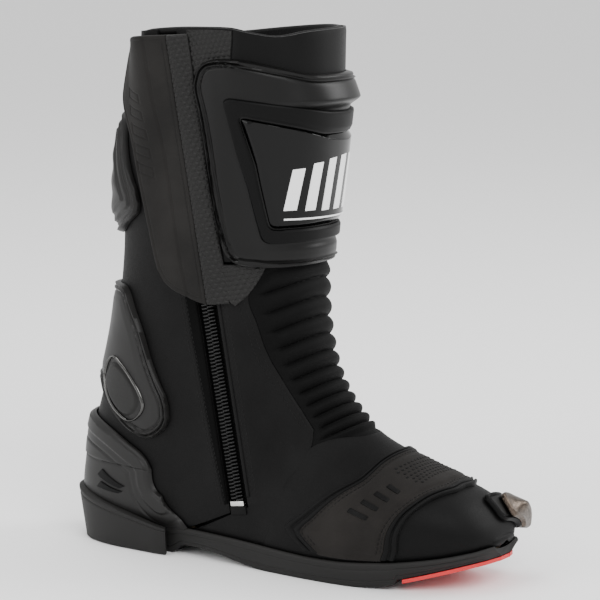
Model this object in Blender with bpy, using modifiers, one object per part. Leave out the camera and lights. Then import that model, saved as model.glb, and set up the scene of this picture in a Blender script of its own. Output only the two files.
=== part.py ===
"""Motorcycle riding boot, left foot: an assembly of separate pieces in metres.

+Z is up, the toe points to -Y and the inner side of the foot is -X.  The boot's
outer leather is one smooth surface, and most pieces are patches of it lifted to
their own layer: station t runs from the rim (0) down the shaft and along the foot
to the toe end (13), and angle a goes round the boot in degrees, 0 in front,
90 on the inner side, 180 at the back and under the foot, negative outside.
"""
import bpy
import bmesh
import numpy as np
from mathutils import Matrix, Vector

# ---- driving dimensions (metres unless a name says otherwise) -------------------
SHAFT_HEIGHT = 0.343          # front rim above the ground
FOOT_REACH = 0.153            # from the ankle's centre plane to the toe end
CALF_HALF_WIDTH = 0.057       # half width of the shaft at the calf
BALL_HALF_WIDTH = 0.047       # half width of the foot at the ball
HEEL_HEIGHT = 0.017           # ground to the underside of the upper at the heel
TOE_SPRING = 0.017            # how far the sole's toe end stands off the ground

LEATHER = 0.0020              # upper leather
PADDING = 0.0024              # stiffeners and foam behind the leather
LINING = 0.0010
FOOTBED = 0.0045
FIT_GAP = 0.0006              # between pieces that touch
LINING_GAP = 0.0012           # round the lining, which lies loose
SOLE_LIP = 0.0026             # thickness of the sole's raised edge
SOLE_EDGE = 0.0030            # how far the sole's foot stands out past the upper

PLATE = 0.0040                # shin plate
FRAME = 0.0030                # raised frame on the shin plate
INSERT = 0.0018               # glossy insert inside the frame
CALF_PLATE = 0.0060
BRACE = 0.0036                # ankle brace
BADGE = 0.0012
HEEL_CUP = 0.0026
SHIFT_PAD = 0.0018
FLAP = 0.0026
HOOK = 0.0009                 # each half of the hook-and-loop pair

ZIP_SLOT = 0.0150             # width of the slot that the leather leaves for the zip
ZIP_TAPE = 0.0006
TEETH_WIDTH = 0.0046          # each row of teeth
TEETH_HEIGHT = 0.0022
SLIDER_WIDTH = 0.0110
SLIDER_LENGTH = 0.0130
PULL_LENGTH = 0.0200
PULL_THICKNESS = 0.0014
FLAP_CLEARANCE = 0.0006       # between the closed flap and the zip's pull
ZIP_ENDS = ((0.42, 102.5), (7.72, 84.0))      # station and angle of the two zip stops
HINGE_FROM_ZIP = 0.0175       # the flap is sewn on this far in front of the zip
STRIP_REAR = 0.0056           # front edge of the flap's leather, behind its stretch strip

# ---- the boot's outer surface -----------------------------------------------------
# One row a station: front y, z; back y, z; where the section is widest, as a share
# of the way from front to back; inner and outer half width; roundness of the front
# and back halves (2 is an ellipse, more is squarer); sideways shift of the centre.
STATIONS = np.array([
    (-0.032, 0.343, 0.099, 0.338, 0.50, 0.0560, 0.058, 2.2, 2.2, 0.000),   # rim
    (-0.031, 0.300, 0.109, 0.296, 0.50, 0.0555, 0.058, 2.2, 2.2, 0.000),   # calf
    (-0.025, 0.250, 0.116, 0.248, 0.50, 0.0530, 0.056, 2.2, 2.2, 0.000),   # shin
    (-0.021, 0.205, 0.118, 0.200, 0.50, 0.0495, 0.052, 2.2, 2.2, 0.000),   # lower shin
    (-0.023, 0.165, 0.125, 0.152, 0.52, 0.0475, 0.048, 2.2, 2.2, 0.000),   # ankle
    (-0.032, 0.132, 0.137, 0.108, 0.55, 0.0455, 0.044, 2.2, 2.2, 0.000),   # instep
    (-0.047, 0.109, 0.149, 0.062, 0.55, 0.0425, 0.041, 2.2, 2.4, 0.000),   # heel
    (-0.066, 0.093, 0.140, 0.022, 0.60, 0.0405, 0.041, 2.2, 3.0, 0.000),   # arch
    (-0.086, 0.083, 0.060, 0.018, 0.62, 0.0420, 0.043, 2.2, 3.5, 0.000),   # waist
    (-0.103, 0.075, -0.040, 0.014, 0.66, 0.0480, 0.046, 2.3, 4.0, 0.000),  # ball
    (-0.119, 0.069, -0.088, 0.016, 0.66, 0.0460, 0.045, 2.3, 4.0, 0.002),  # vamp
    (-0.137, 0.060, -0.122, 0.020, 0.62, 0.0380, 0.038, 2.3, 3.2, 0.006),  # toe
    (-0.148, 0.048, -0.142, 0.025, 0.55, 0.0270, 0.027, 2.2, 2.4, 0.009),  # tip
    (-0.153, 0.038, -0.152, 0.031, 0.50, 0.0130, 0.013, 2.0, 2.0, 0.010),  # end
])
LAST = len(STATIONS) - 1
BOX_CENTRE = (0.0006, -0.0009)       # middle of the whole boot's box in the table's x and y
ANKLE_HEIGHT = 0.100          # the shaft stretches above this height
NOMINAL_HEIGHT, NOMINAL_REACH = STATIONS[0, 1], -STATIONS[LAST, 0]
NOMINAL_CALF, NOMINAL_BALL, NOMINAL_HEEL = 0.057, 0.047, STATIONS[7, 3]


def sized_stations():
    """The station table stretched to the driving dimensions."""
    table = STATIONS.copy()
    shaft = (SHAFT_HEIGHT - ANKLE_HEIGHT) / (NOMINAL_HEIGHT - ANKLE_HEIGHT)
    for column in (1, 3):
        z = table[:, column]
        table[:, column] = np.where(z > ANKLE_HEIGHT, ANKLE_HEIGHT + (z - ANKLE_HEIGHT) * shaft, z)
        table[:, column] += HEEL_HEIGHT - NOMINAL_HEEL
    for column in (0, 2):
        y = table[:, column]
        table[:, column] = np.where(y < 0, y * FOOT_REACH / NOMINAL_REACH, y)
    foot_share = np.clip((np.arange(LAST + 1) - 3) / 4, 0, 1)
    widths = (1 - foot_share) * CALF_HALF_WIDTH / NOMINAL_CALF + foot_share * BALL_HALF_WIDTH / NOMINAL_BALL
    table[:, 5:7] *= widths[:, None]
    return table


SIZED = sized_stations()


def smooth(value, low, high):
    """0 below low, 1 above high, with a soft start and end between."""
    share = np.clip((value - low) / (high - low), 0, 1)
    return share * share * (3 - 2 * share)


def station(t):
    """The table's row at any t, on a Catmull-Rom curve through its rows."""
    t = np.clip(t, 0, LAST)
    i = np.minimum(t.astype(int), LAST - 1)
    u = (t - i)[..., None]
    rows = np.vstack([2 * SIZED[0] - SIZED[1], SIZED, 2 * SIZED[-1] - SIZED[-2]])
    p0, p1, p2, p3 = rows[i], rows[i + 1], rows[i + 2], rows[i + 3]
    return 0.5 * (2 * p1 + (p2 - p0) * u + (2 * p0 - 5 * p1 + 4 * p2 - p3) * u**2
                  + (3 * p1 - p0 - 3 * p2 + p3) * u**3)


def raw_surface(t, a):
    """The outer surface before it is flattened beside the zip; above the rim it
    goes on straight up."""
    row = station(t)
    fy, fz, by, bz, belly, inner, outer, front_power, back_power, shift = np.moveaxis(row, -1, 0)
    cy, cz = fy + (by - fy) * belly, fz + (bz - fz) * belly
    turn = np.radians(a)
    cos, sin = np.cos(turn), np.sin(turn)
    power = np.where(cos >= 0, front_power, back_power)
    scale = (np.abs(cos)**power + np.abs(sin)**power)**(-1 / power)
    cos, sin = cos * scale, sin * scale
    x = shift - np.where(sin >= 0, inner, outer) * sin - BOX_CENTRE[0]
    y = cy + np.where(cos >= 0, fy - cy, by - cy) * np.abs(cos) - BOX_CENTRE[1]
    z = cz + np.where(cos >= 0, fz - cz, bz - cz) * np.abs(cos)
    above = np.maximum(-t, 0) * (SIZED[0, 1] - SIZED[1, 1])
    return np.stack([x, y, z + above], -1)


def unit(vector):
    return vector / np.linalg.norm(vector, axis=-1, keepdims=True)


def zip_frame():
    """Middle of the zip's bottom end, its length, and its directions: up along the
    zip, rearward across it, and out of the boot."""
    ends = raw_surface(*np.array(ZIP_ENDS).T)
    up = unit(ends[0] - ends[1])
    t, a = np.linspace(*np.array(ZIP_ENDS), 5).T
    rearward = raw_surface(t, a + 6) - raw_surface(t, a - 6)
    rearward = unit(unit(rearward).mean(0))
    out = unit(np.cross(up, rearward))
    middle = raw_surface(t, a)
    seat = np.mean((middle - ends[1]) @ out)
    start = ends[1] + out * seat
    return start, np.linalg.norm(ends[0] - ends[1]), up, unit(np.cross(out, up)), out


ZIP_START, ZIP_LENGTH, ZIP_UP, ZIP_ACROSS, ZIP_OUT = zip_frame()


def surface(t, a):
    """The outer surface, with the leather lying flat in the zip's own plane."""
    t, a = np.broadcast_arrays(np.asarray(t, float), np.asarray(a, float))
    point = raw_surface(t, a)
    from_start = point - ZIP_START
    along, across, height = (from_start @ axis for axis in (ZIP_UP, ZIP_ACROSS, ZIP_OUT))
    near = 1 - smooth(np.abs(across), ZIP_SLOT * 0.75, ZIP_SLOT * 2.4)
    near = near * smooth(along, -0.035, -0.004) * (height > -0.030)
    return point - ZIP_OUT * (height * near)[..., None]


def lifted(t, a, lift):
    """The surface moved out along its normal by lift."""
    t, a = np.broadcast_arrays(np.asarray(t, float), np.asarray(a, float))
    step = 0.02
    down = surface(t + step, a) - surface(t - step, a)
    down[..., :] = np.where((t < 0)[..., None], surface(t * 0 + step, a) - surface(t * 0 - step, a), down)
    around = surface(t, a + 1) - surface(t, a - 1)
    normal = unit(np.cross(around, down))
    return surface(t, a) + normal * np.broadcast_to(lift, t.shape)[..., None]


# ---- making pieces -------------------------------------------------------------------
for old in list(bpy.data.objects):
    bpy.data.objects.remove(old, do_unlink=True)
boot = bpy.data.collections.new("riding_boot")
bpy.context.scene.collection.children.link(boot)


def finish(name, kind):
    """A Principled material for each kind of stuff, made once."""
    looks = {
        "leather": ((0.020, 0.020, 0.021), 0.55, 0.0), "smooth_leather": ((0.018, 0.018, 0.019), 0.40, 0.0),
        "suede": ((0.030, 0.027, 0.026), 0.80, 0.0), "stretch": ((0.012, 0.012, 0.013), 0.75, 0.0),
        "moulded": ((0.022, 0.022, 0.023), 0.45, 0.0), "gloss": ((0.006, 0.006, 0.007), 0.12, 0.0),
        "rubber": ((0.025, 0.025, 0.026), 0.65, 0.0), "red": ((0.62, 0.03, 0.03), 0.50, 0.0),
        "steel": ((0.35, 0.30, 0.26), 0.35, 1.0), "zip": ((0.015, 0.015, 0.016), 0.30, 0.0),
        "lining": ((0.035, 0.035, 0.036), 0.90, 0.0), "board": ((0.30, 0.24, 0.17), 0.85, 0.0),
        "foam": ((0.10, 0.10, 0.10), 0.95, 0.0), "nickel": ((0.60, 0.60, 0.60), 0.25, 1.0),
    }
    color, roughness, metallic = looks[kind]
    material = bpy.data.materials.new(name)
    material.use_nodes = True
    shader = material.node_tree.nodes["Principled BSDF"]
    shader.inputs["Base Color"].default_value = (*color, 1)
    shader.inputs["Roughness"].default_value = roughness
    shader.inputs["Metallic"].default_value = metallic
    return material


def add_object(name, mesh, kind):
    piece = bpy.data.objects.new(name, mesh)
    boot.objects.link(piece)
    mesh.materials.append(finish(name, kind))
    return piece


def add_mesh(name, points, faces, kind):
    mesh = bpy.data.meshes.new(name)
    mesh.from_pydata([tuple(p) for p in points], [], faces)
    mesh.shade_smooth()
    mesh.set_sharp_from_angle(angle=np.radians(35))
    return add_object(name, mesh, kind)


def grid_faces(rows, columns, around=False):
    """Quads of a rows x columns grid of points, facing out of the boot."""
    faces = []
    for i in range(rows - 1):
        for j in range(columns if around else columns - 1):
            k = (j + 1) % columns
            faces.append((i * columns + j, i * columns + k, (i + 1) * columns + k, (i + 1) * columns + j))
    return faces


def sheet(name, t, a, lift, thickness, kind, around=False, tip=0.0):
    """A patch of the boot's surface: grids of stations and angles, lifted, then given
    its thickness outwards.  With a tip, the last row closes on a point that far on."""
    points = lifted(t, a, lift).reshape(-1, 3)
    faces = grid_faces(*t.shape, around)
    if tip:
        last = len(points) - t.shape[1]
        ends = lifted(t[-1], a[-1], lift)
        points = np.vstack([points, (ends.max(0) + ends.min(0)) / 2 - (0, tip, 0)])
        faces += [(last + j, last + j + 1, len(points) - 1) for j in range(t.shape[1] - 1)]
    piece = add_mesh(name, points, faces, kind)
    wall = piece.modifiers.new("thickness", "SOLIDIFY")
    wall.thickness = thickness
    wall.offset = 1.0
    return piece


def rows_between(stations, low_angles, high_angles, columns):
    """Grid with one row a station, running from the low to the high angle."""
    share = np.linspace(0, 1, columns)
    low, high = np.array(low_angles, float)[:, None], np.array(high_angles, float)[:, None]
    return np.repeat(np.array(stations, float)[:, None], columns, 1), low + (high - low) * share


def columns_between(angles, top_stations, bottom_stations, rows):
    """Grid with one column an angle, running from the top to the bottom station."""
    share = np.linspace(0, 1, rows)[:, None]
    top, bottom = np.array(top_stations, float), np.array(bottom_stations, float)
    return top + (bottom - top) * share, np.repeat(np.array(angles, float)[None], rows, 0)


def rounded(corners, radius, arc_points=4):
    """Closed outline through corners (t, a), each rounded where it turns.  One
    station is taken as STATION_ANGLE degrees, so that a corner's arc is round."""
    scale = np.array([STATION_ANGLE, 1.0])
    points = np.array(corners, float) * scale
    outline = []
    for before, corner, after in zip(np.roll(points, 1, 0), points, np.roll(points, -1, 0)):
        into, out_of = before - corner, after - corner
        reach = min(radius, np.linalg.norm(into) * 0.45, np.linalg.norm(out_of) * 0.45)
        start, end = corner + unit(into) * reach, corner + unit(out_of) * reach
        for u in np.linspace(0, 1, arc_points):
            outline.append((1 - u)**2 * start + 2 * u * (1 - u) * corner + u * u * end)
    return np.array(outline) / scale


STATION_ANGLE = 48.0          # one station spans about as far as this many degrees


def stepped(outline, longest=9.0):
    """The outline with points added where two lie more than longest degrees apart."""
    scale = np.array([STATION_ANGLE, 1.0])
    points, steps = outline * scale, []
    for start, end in zip(points, np.roll(points, -1, 0)):
        count = int(np.ceil(np.linalg.norm(end - start) / longest))
        steps += [start + (end - start) * k / count for k in range(count)]
    return np.array(steps) / scale


def inset(outline, distance):
    """The outline moved inwards by a distance in degrees."""
    scale = np.array([STATION_ANGLE, 1.0])
    points = outline * scale
    along = unit(np.roll(points, -1, 0) - np.roll(points, 1, 0))
    inward = np.stack([-along[:, 1], along[:, 0]], -1)
    centre = points.mean(0)
    if np.sum((centre - points) * inward) < 0:
        inward = -inward
    return (points + inward * distance) / scale


def fill_between(outer, inner, rings):
    share = np.linspace(0, 1, rings)[:, None, None]
    mixed = outer * (1 - share) + inner * share
    return mixed[..., 0], mixed[..., 1]


def turns_outward(outline):
    """True when going round the outline and then inwards faces out of the boot."""
    t, a = outline.T
    return np.sum(t * np.roll(a, -1) - a * np.roll(t, -1)) < 0


def plate(name, outline, lift, thickness, kind, rings=4):
    """A plate with a rounded outline (t, a), closed in the middle."""
    if not turns_outward(outline):
        outline = outline[::-1]
    centre = outline.mean(0)
    t, a = fill_between(outline, centre + (outline - centre) * 0.12, rings)
    points = lifted(t, a, lift).reshape(-1, 3)
    faces = grid_faces(*t.shape, around=True)
    middle = lifted(np.array(centre[0]), np.array(centre[1]), lift)
    last = (rings - 1) * t.shape[1]
    for j in range(t.shape[1]):
        faces.append((last + j, last + (j + 1) % t.shape[1], len(points)))
    piece = add_mesh(name, np.vstack([points, middle]), faces, kind)
    wall = piece.modifiers.new("thickness", "SOLIDIFY")
    wall.thickness = thickness
    wall.offset = 1.0
    return piece


def ring(name, outer, inner, lift, thickness, kind):
    """A frame between two outlines with the same number of points."""
    if not turns_outward(outer):
        outer, inner = outer[::-1], inner[::-1]
    t, a = fill_between(outer, inner, 3)
    return sheet(name, t, a, lift, thickness, kind, around=True)


def mirrored(outline):
    """The same outline on the other side of the boot."""
    return outline * np.array([1, -1])


# ---- lines that several pieces share -------------------------------------------------
def feather(t):
    """Angle of the line where the upper meets the top of the sole's edge."""
    return np.interp(t, (6.93, 7.0, 7.1, 7.25, 7.5, 8.0, 9.0, 10.0, 11.0, 12.0, 13.0),
                     (180, 159, 150, 143, 136, 129, 124, 121, 118, 113, 108))


def feather_station(a):
    """Station of the same line at an angle between 129 and 180, either side."""
    a = np.where(np.abs(a) > 180, 360 - np.abs(a), np.abs(a))
    return np.interp(a, (129, 136, 143, 150, 159, 180), (8.0, 7.5, 7.25, 7.1, 7.0, 6.93))


def instep_edge(t):
    """Edge of the pleated front panel, as an angle either side of the front."""
    return np.interp(t, (3.2, 3.6, 4.0, 4.5, 5.2, 5.75, 6.4, 6.75, 6.95),
                     (46, 49, 45.5, 42.5, 38, 36, 35.5, 31, 16))


def vamp_seam(t):
    """Seam between the side panels and the vamp, as an angle either side."""
    return np.interp(t, (6.9, 7.25, 7.7, 8.2, 8.45, 8.6, 8.75), (42, 49, 63, 80, 100, 125, 150))


def vamp_start(a):
    """The same seam as a station, running on over the foot's top."""
    return np.interp(np.abs(a), (0, 12, 31, 42, 49, 63, 80, 100, 125, 150),
                     (7.04, 7.03, 6.84, 6.93, 7.25, 7.7, 8.2, 8.45, 8.6, 8.75))


def zip_side(t, distance):
    """Angle at a distance behind (or, negative, in front of) the zip's centre line,
    found at each station by halving."""
    t = np.asarray(t, float)
    low, high = np.full(t.shape, 35.0), np.full(t.shape, 135.0)
    for _ in range(30):
        middle = (low + high) / 2
        behind_it = (surface(t, middle) - ZIP_START) @ ZIP_ACROSS > distance
        low, high = np.where(behind_it, low, middle), np.where(behind_it, middle, high)
    return (low + high) / 2


def to_rim(t, a):
    """The grid with its first row moved to the rim, which is highest on the inner
    side and dips beside the front."""
    t = np.array(t, float)
    around = (np.array(a[0]) + 180) % 360 - 180
    t[0] = np.interp(around, (-180, -140, -60, -20, 20, 42, 56, 70, 100, 140, 180),
                     (0.06, 0.04, -0.06, -0.05, -0.03, 0.02, -0.04, -0.12, -0.14, -0.08, 0.06))
    return t, a


SEAM = 0.7                    # degrees left between two panels that meet
SHAFT_FRONT_EDGES = (-112, 66)
LASTING_EDGE = 150            # the upper is turned in under the foot this far
TOE_SEAM = 10.0               # station where the toe piece starts
SLOT_END = 7.95               # station where the zip's slot ends and the panel closes

# ---- the sole ------------------------------------------------------------------------
HEEL_BREAST = 0.070           # y of the heel block's front face
HEEL_SLOPE = 0.010


def ground(y):
    """Height of the sole's underside: heel block, waist, flat tread and toe spring."""
    waist = 0.0065 * smooth(-y, -HEEL_BREAST, -HEEL_BREAST + HEEL_SLOPE) * (1 - smooth(-y, -0.045, 0.010))
    toe = TOE_SPRING * smooth(-y, 0.070, FOOT_REACH + 0.030) * 1.25
    return waist + toe


RED_TREAD = 0.0024            # thickness of the red tread piece under the toe
RED_START = 10.4              # station where it starts
SOLE_SHARE = np.array([0, 0.06, 0.13, 0.2, 0.27, 0.36, 0.5, 0.64, 0.73, 0.8, 0.87, 0.94, 1])


def sole_foot(stations):
    """The sole's ground face, a row a station, as wide as the upper and its edge."""
    edge = feather(stations)[:, None]
    t = np.repeat(stations[:, None], len(SOLE_SHARE), 1)
    foot = lifted(t, edge + (360 - 2 * edge) * SOLE_SHARE, 2 * FIT_GAP)
    spread = 2 * SOLE_SHARE - 1
    foot[..., 0] += -np.sign(spread) * np.abs(spread)**2 * SOLE_EDGE
    back, toe = smooth(7.4 - stations, 0, 0.4), smooth(stations, 12.0, 12.9)
    foot[..., 1] += ((back - toe) * SOLE_EDGE)[:, None]
    foot[..., 2] = ground(foot[..., 1])
    return foot


def loft(name, loops, kind):
    """A solid through closed loops of points, capped at both ends."""
    rows, count = loops.shape[:2]
    faces = [tuple(reversed(face)) for face in grid_faces(rows, count, around=True)]
    faces.append(tuple(range(count)))
    faces.append(tuple(range((rows - 1) * count, rows * count))[::-1])
    return add_mesh(name, loops.reshape(-1, 3), faces, kind)


def outsole():
    """Moulded sole: a tread whose raised edge cups the upper all round."""
    stations = np.array([6.965, 7.0, 7.05, 7.12, 7.25, 7.4, 7.55, 7.7, 7.82, 7.92, 8.05, 8.25, 8.5, 8.75,
                         9, 9.4, 9.8, 10.2, 10.35, 10.6, 11, 11.4, 11.8, 12.15, 12.45, 12.7, 12.85, 12.97])
    t = np.repeat(stations[:, None], len(SOLE_SHARE), 1)
    edge = feather(stations)[:, None]
    a = edge + (360 - 2 * edge) * SOLE_SHARE
    top = lifted(t, a, 2 * FIT_GAP)
    lip = lifted(t[:, [0, -1]], a[:, [0, -1]], 2 * FIT_GAP + SOLE_LIP)
    foot = sole_foot(stations)
    foot[stations > RED_START - 0.1, :, 2] += RED_TREAD + FIT_GAP
    loft("outsole", np.concatenate([top, lip[:, 1:], foot[:, ::-1], lip[:, :1]], 1), "rubber")


def red_tread():
    """Flat red tread piece let into the sole under the toe."""
    foot = sole_foot(np.array([RED_START, 10.6, 11, 11.4, 11.8, 12.15, 12.45, 12.7, 12.85, 12.97]))
    loft("red_tread", np.concatenate([foot + (0, 0, RED_TREAD), foot[:, ::-1]], 1), "red")


red_tread()
outsole()

# ---- the upper's panels --------------------------------------------------------------
wall = dict(lift=-LEATHER, thickness=LEATHER, kind="leather")
front_low, front_high = SHAFT_FRONT_EDGES

stations = [0, 0.5, 1, 1.5, 2, 2.5, 3.05]
sheet("shaft_front_panel",
      *to_rim(*rows_between(stations, [front_low + SEAM] * 7, [front_high - SEAM] * 7, 19)), **wall)

stations = np.array([3.14, 3.6, 4.0, 4.5, 5.0, 5.5, 6.0, 6.4, 6.75, 6.93])
edge = instep_edge(stations) - SEAM
sheet("pleated_front", *rows_between(stations, -edge, edge, 9), lift=-LEATHER, thickness=LEATHER,
      kind="stretch")


def side_edge(t, shaft_edge):
    """Front edge of a side panel: beside the shaft's front, the pleats, the vamp."""
    t = np.asarray(t, float)
    shaft = shaft_edge + (instep_edge(3.25) - shaft_edge) * smooth(t, 3.10, 3.24)
    pleats = np.interp(t, (6.4, 6.9), (35.5, 42))
    foot = np.where(t < 6.9, pleats, vamp_seam(t))
    return np.where(t < 3.25, shaft, np.where(t < 6.4, instep_edge(t), foot))


stations = np.array([0, 0.5, 1, 1.5, 2, 2.5, 3.1, 3.25, 3.6, 4, 4.4, 4.8, 5.2, 5.6, 6, 6.4, 6.7, 6.9, 7.1,
                     7.3, 7.5, 7.68, 7.82, SLOT_END])
foot_stations = np.array([7.966, 7.982, 7.998, 8.014, 8.03, 8.1, 8.18, 8.26, 8.34, 8.42, 8.5, 8.6, 8.7])
low = side_edge(np.concatenate([stations, foot_stations]), front_high) + SEAM
high = zip_side(stations, -ZIP_SLOT / 2)
high = np.concatenate([high, np.interp(foot_stations, (SLOT_END, 8.03), (high[-1], LASTING_EDGE))])
stations = np.concatenate([stations, foot_stations])
sheet("inner_front_panel", *to_rim(*rows_between(stations, low, high, 7)), **wall)

rear = np.array([0, 0.5, 1, 1.5, 2, 2.5, 3, 3.5, 4, 4.5, 5, 5.4, 5.7, 6, 6.2, 6.4, 6.55, 6.7, 6.83, 6.95,
                 7.08, 7.2, 7.35, 7.5, 7.67, 7.8, 7.92])
seat = np.where(rear < 7, 180 - SEAM / 2, LASTING_EDGE)
sheet("inner_rear_panel", *to_rim(*rows_between(rear, zip_side(rear, ZIP_SLOT / 2), seat, 10)), **wall)

outer = np.array([0, 0.5, 1, 1.5, 2, 2.5, 3.1, 3.14, 3.17, 3.2, 3.25, 3.6, 4, 4.5, 5, 5.4, 5.7, 6, 6.2, 6.4,
                  6.55, 6.7, 6.83, 6.95, 7.08, 7.2, 7.35, 7.5, 7.75, 8, 8.15, 8.3, 8.4, 8.52, 8.62, 8.7])
seat = np.where(outer < 7, 180 - SEAM / 2, LASTING_EDGE)
outer_front = -side_edge(outer, -front_low) - SEAM
sheet("outer_side_panel", *to_rim(*rows_between(outer, -seat, outer_front, 15)), **wall)

angles = np.array([0, 16, 31, 42, 49, 56, 63, 71, 80, 90, 100, 110, 118, 126, 134, 142, 150])
angles = np.concatenate([-angles[:0:-1], angles])
sheet("vamp", *columns_between(angles, vamp_start(angles) + 0.02, [TOE_SEAM - 0.01] * len(angles), 6), **wall)

stations = np.array([TOE_SEAM + 0.01, 10.5, 11, 11.4, 11.8, 12.2, 12.5, 12.75, 12.93])
angles = np.concatenate([-angles[:16:-1], [0], angles[17:]])
sheet("toe_cap", np.repeat(stations[:, None], len(angles), 1), np.repeat(angles[None], len(stations), 0),
      lift=-LEATHER, thickness=LEATHER, kind="smooth_leather", tip=0.0012)

# ---- inside the boot -------------------------------------------------------------------
stations = [7.12, 7.3, 7.6, 8, 8.5, 9, 9.5, 10, 10.5, 11, 11.5, 12, 12.4]
edges = [LASTING_EDGE + 1] * 13
sheet("insole_board", *rows_between(stations, edges, [360 - e for e in edges], 7), lift=-LEATHER,
      thickness=LEATHER, kind="board")
shank_top = -LEATHER - FIT_GAP - 0.0012
sheet("steel_shank", *rows_between([7.35, 7.6, 8, 8.4, 8.8], [174] * 5, [186] * 5, 3), lift=shank_top,
      thickness=0.0012, kind="steel")
footbed_top = shank_top - FIT_GAP - FOOTBED
sheet("footbed", *rows_between([7.3, 7.6, 8, 8.5, 9, 9.5, 10, 10.5, 11, 11.5, 12], [152] * 11, [208] * 11, 7),
      lift=footbed_top, thickness=FOOTBED, kind="foam")

behind = dict(lift=-LEATHER - FIT_GAP - PADDING, thickness=PADDING)
counter_stations = np.array([6.0, 6.15, 6.3, 6.45, 6.6, 6.72, 6.84])
counter_edge = np.array([104, 103, 102, 104, 106, 109, 112])
sheet("heel_counter", *rows_between(counter_stations, counter_edge, 360 - counter_edge, 17), **behind,
      kind="moulded")
sheet("toe_puff", *rows_between([10.4, 10.9, 11.4, 11.9, 12.2], [-112] * 5, [112] * 5, 17), **behind,
      kind="moulded")
sheet("shin_foam", *rows_between([0.6, 1.1, 1.6, 2.1, 2.6, 2.95], [-95] * 6, [52] * 6, 13), **behind,
      kind="foam")
pad_outline = stepped(rounded([(4.6, 92), (4.6, 126), (5.7, 128), (5.7, 92)], 14))
plate("ankle_pad_inner", pad_outline, **behind, kind="foam", rings=4)
plate("ankle_pad_outer", mirrored(pad_outline), **behind, kind="foam", rings=4)

lining_lift = -LEATHER - PADDING - FIT_GAP - LINING_GAP - LINING
angles = np.linspace(-180, 180, 25)[:-1]
stations = np.array([0, 0.7, 1.4, 2.1, 2.8, 3.4, 4, 4.5, 5, 5.5])
t, a = to_rim(np.repeat(stations[:, None], 24, 1), np.repeat(angles[None], 10, 0))
sheet("shaft_lining", t, a, lining_lift, LINING, "lining", around=True)
foot_stations = np.array([5.54, 5.9, 6.2, 6.5, 6.75, 7, 7.3, 7.6, 7.9, 8.4, 9, 9.6, 10.2, 10.8, 11.3, 11.8])
foot_reach = np.interp(foot_stations, (6.5, 7.3), (179.5, 120))
sheet("foot_lining", *rows_between(foot_stations, -foot_reach, foot_reach, 21), lining_lift, LINING, "lining")


# ---- armour on the shaft ---------------------------------------------------------------
ON_LEATHER = FIT_GAP

PLATE_MIDDLE = -18            # the shin plate is centred this far round to the outer side


def shield(name, reach, top, bottom, lift, thickness, kind, rows, middle=0, step=8.0):
    """A plate that wraps round the boot, the same on both sides of its middle angle.
    top and bottom are (angle, station) points from the middle out to its reach."""
    half = np.linspace(0, reach, int(np.ceil(reach / step)) + 1)
    ends = [np.interp(half, *np.array(edge).T) for edge in (top, bottom)]
    angles = middle + np.concatenate([-half[:0:-1], half])
    full = [np.concatenate([end[:0:-1], end]) for end in ends]
    return sheet(name, *columns_between(angles, *full, rows), lift, thickness, kind)


plate_top = [(0, 0.63), (38, 0.63), (58, 0.54), (78, 0.37), (90, 0.33), (95, 0.35), (100, 0.46), (102, 0.62)]
plate_bottom = [(0, 3.18), (38, 3.18), (58, 3.17), (68, 3.13), (76, 3.06), (80, 2.95), (85, 2.5), (89, 2.0),
                (93, 1.5), (99.5, 1.0), (102, 0.72)]
shield("shin_plate", 102, plate_top, plate_bottom, ON_LEATHER, PLATE, "moulded", 9, PLATE_MIDDLE)

frame_side = [(0.90, 64), (1.05, 69), (1.5, 62), (2.0, 52.5), (2.55, 48), (2.78, 40)]
frame_outline = frame_side + [(t, 2 * PLATE_MIDDLE - a) for t, a in reversed(frame_side)]
frame_outline = stepped(rounded(frame_outline + [(1.10, -50), (1.14, -18), (1.08, 20)], 5))
on_plate = ON_LEATHER + PLATE + 1.5 * FIT_GAP
ring("shin_frame", frame_outline, inset(frame_outline, 7.5), on_plate, FRAME, "moulded")
insert_top = [(0, 1.36), (38, 1.32), (60, 1.24), (72, 1.14), (75, 1.16)]
insert_bottom = [(0, 2.56), (42, 2.54), (52, 2.44), (56.5, 2.28), (60, 1.95), (68.5, 1.5), (73, 1.28),
                 (75, 1.2)]
shield("shin_insert", 75, insert_top, insert_bottom, on_plate, INSERT, "gloss", 6, PLATE_MIDDLE)

calf_top = [(0, 1.15), (32, 1.20), (41, 1.5), (50, 1.85), (56.5, 2.0), (62, 2.26)]
calf_bottom = [(0, 2.78), (42, 2.70), (46, 2.6), (59, 2.5), (62, 2.34)]
shield("calf_plate", 62, calf_top, calf_bottom, ON_LEATHER, CALF_PLATE, "moulded", 7, 180)

brace_top = [(0, 3.5), (52, 3.5), (67.5, 4.0), (77.5, 4.5), (86, 5.0), (90, 5.35)]
brace_bottom = [(0, 4.90), (33, 4.95), (43, 5.1), (58, 5.45), (71, 5.8), (78, 5.93), (86, 5.85), (90, 5.72)]
shield("ankle_brace", 90, brace_top, brace_bottom, ON_LEATHER, BRACE, "moulded", 9, 180, step=6)

badge_corners = [(4.50, 131), (4.75, 116), (5.10, 106), (5.38, 102.5), (5.60, 109), (5.35, 121), (5.05, 131),
                 (4.78, 137)]
badge_outline = stepped(rounded(badge_corners, 9), longest=6)
on_brace = ON_LEATHER + BRACE + FIT_GAP
for side, outline in (("inner", badge_outline), ("outer", mirrored(badge_outline))):
    ring("badge_rim_" + side, outline, inset(outline, 1.8), on_brace, BADGE * 1.4, "nickel")
    plate("badge_" + side, inset(outline, 2.6), on_brace, BADGE, "smooth_leather", rings=3)

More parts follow.
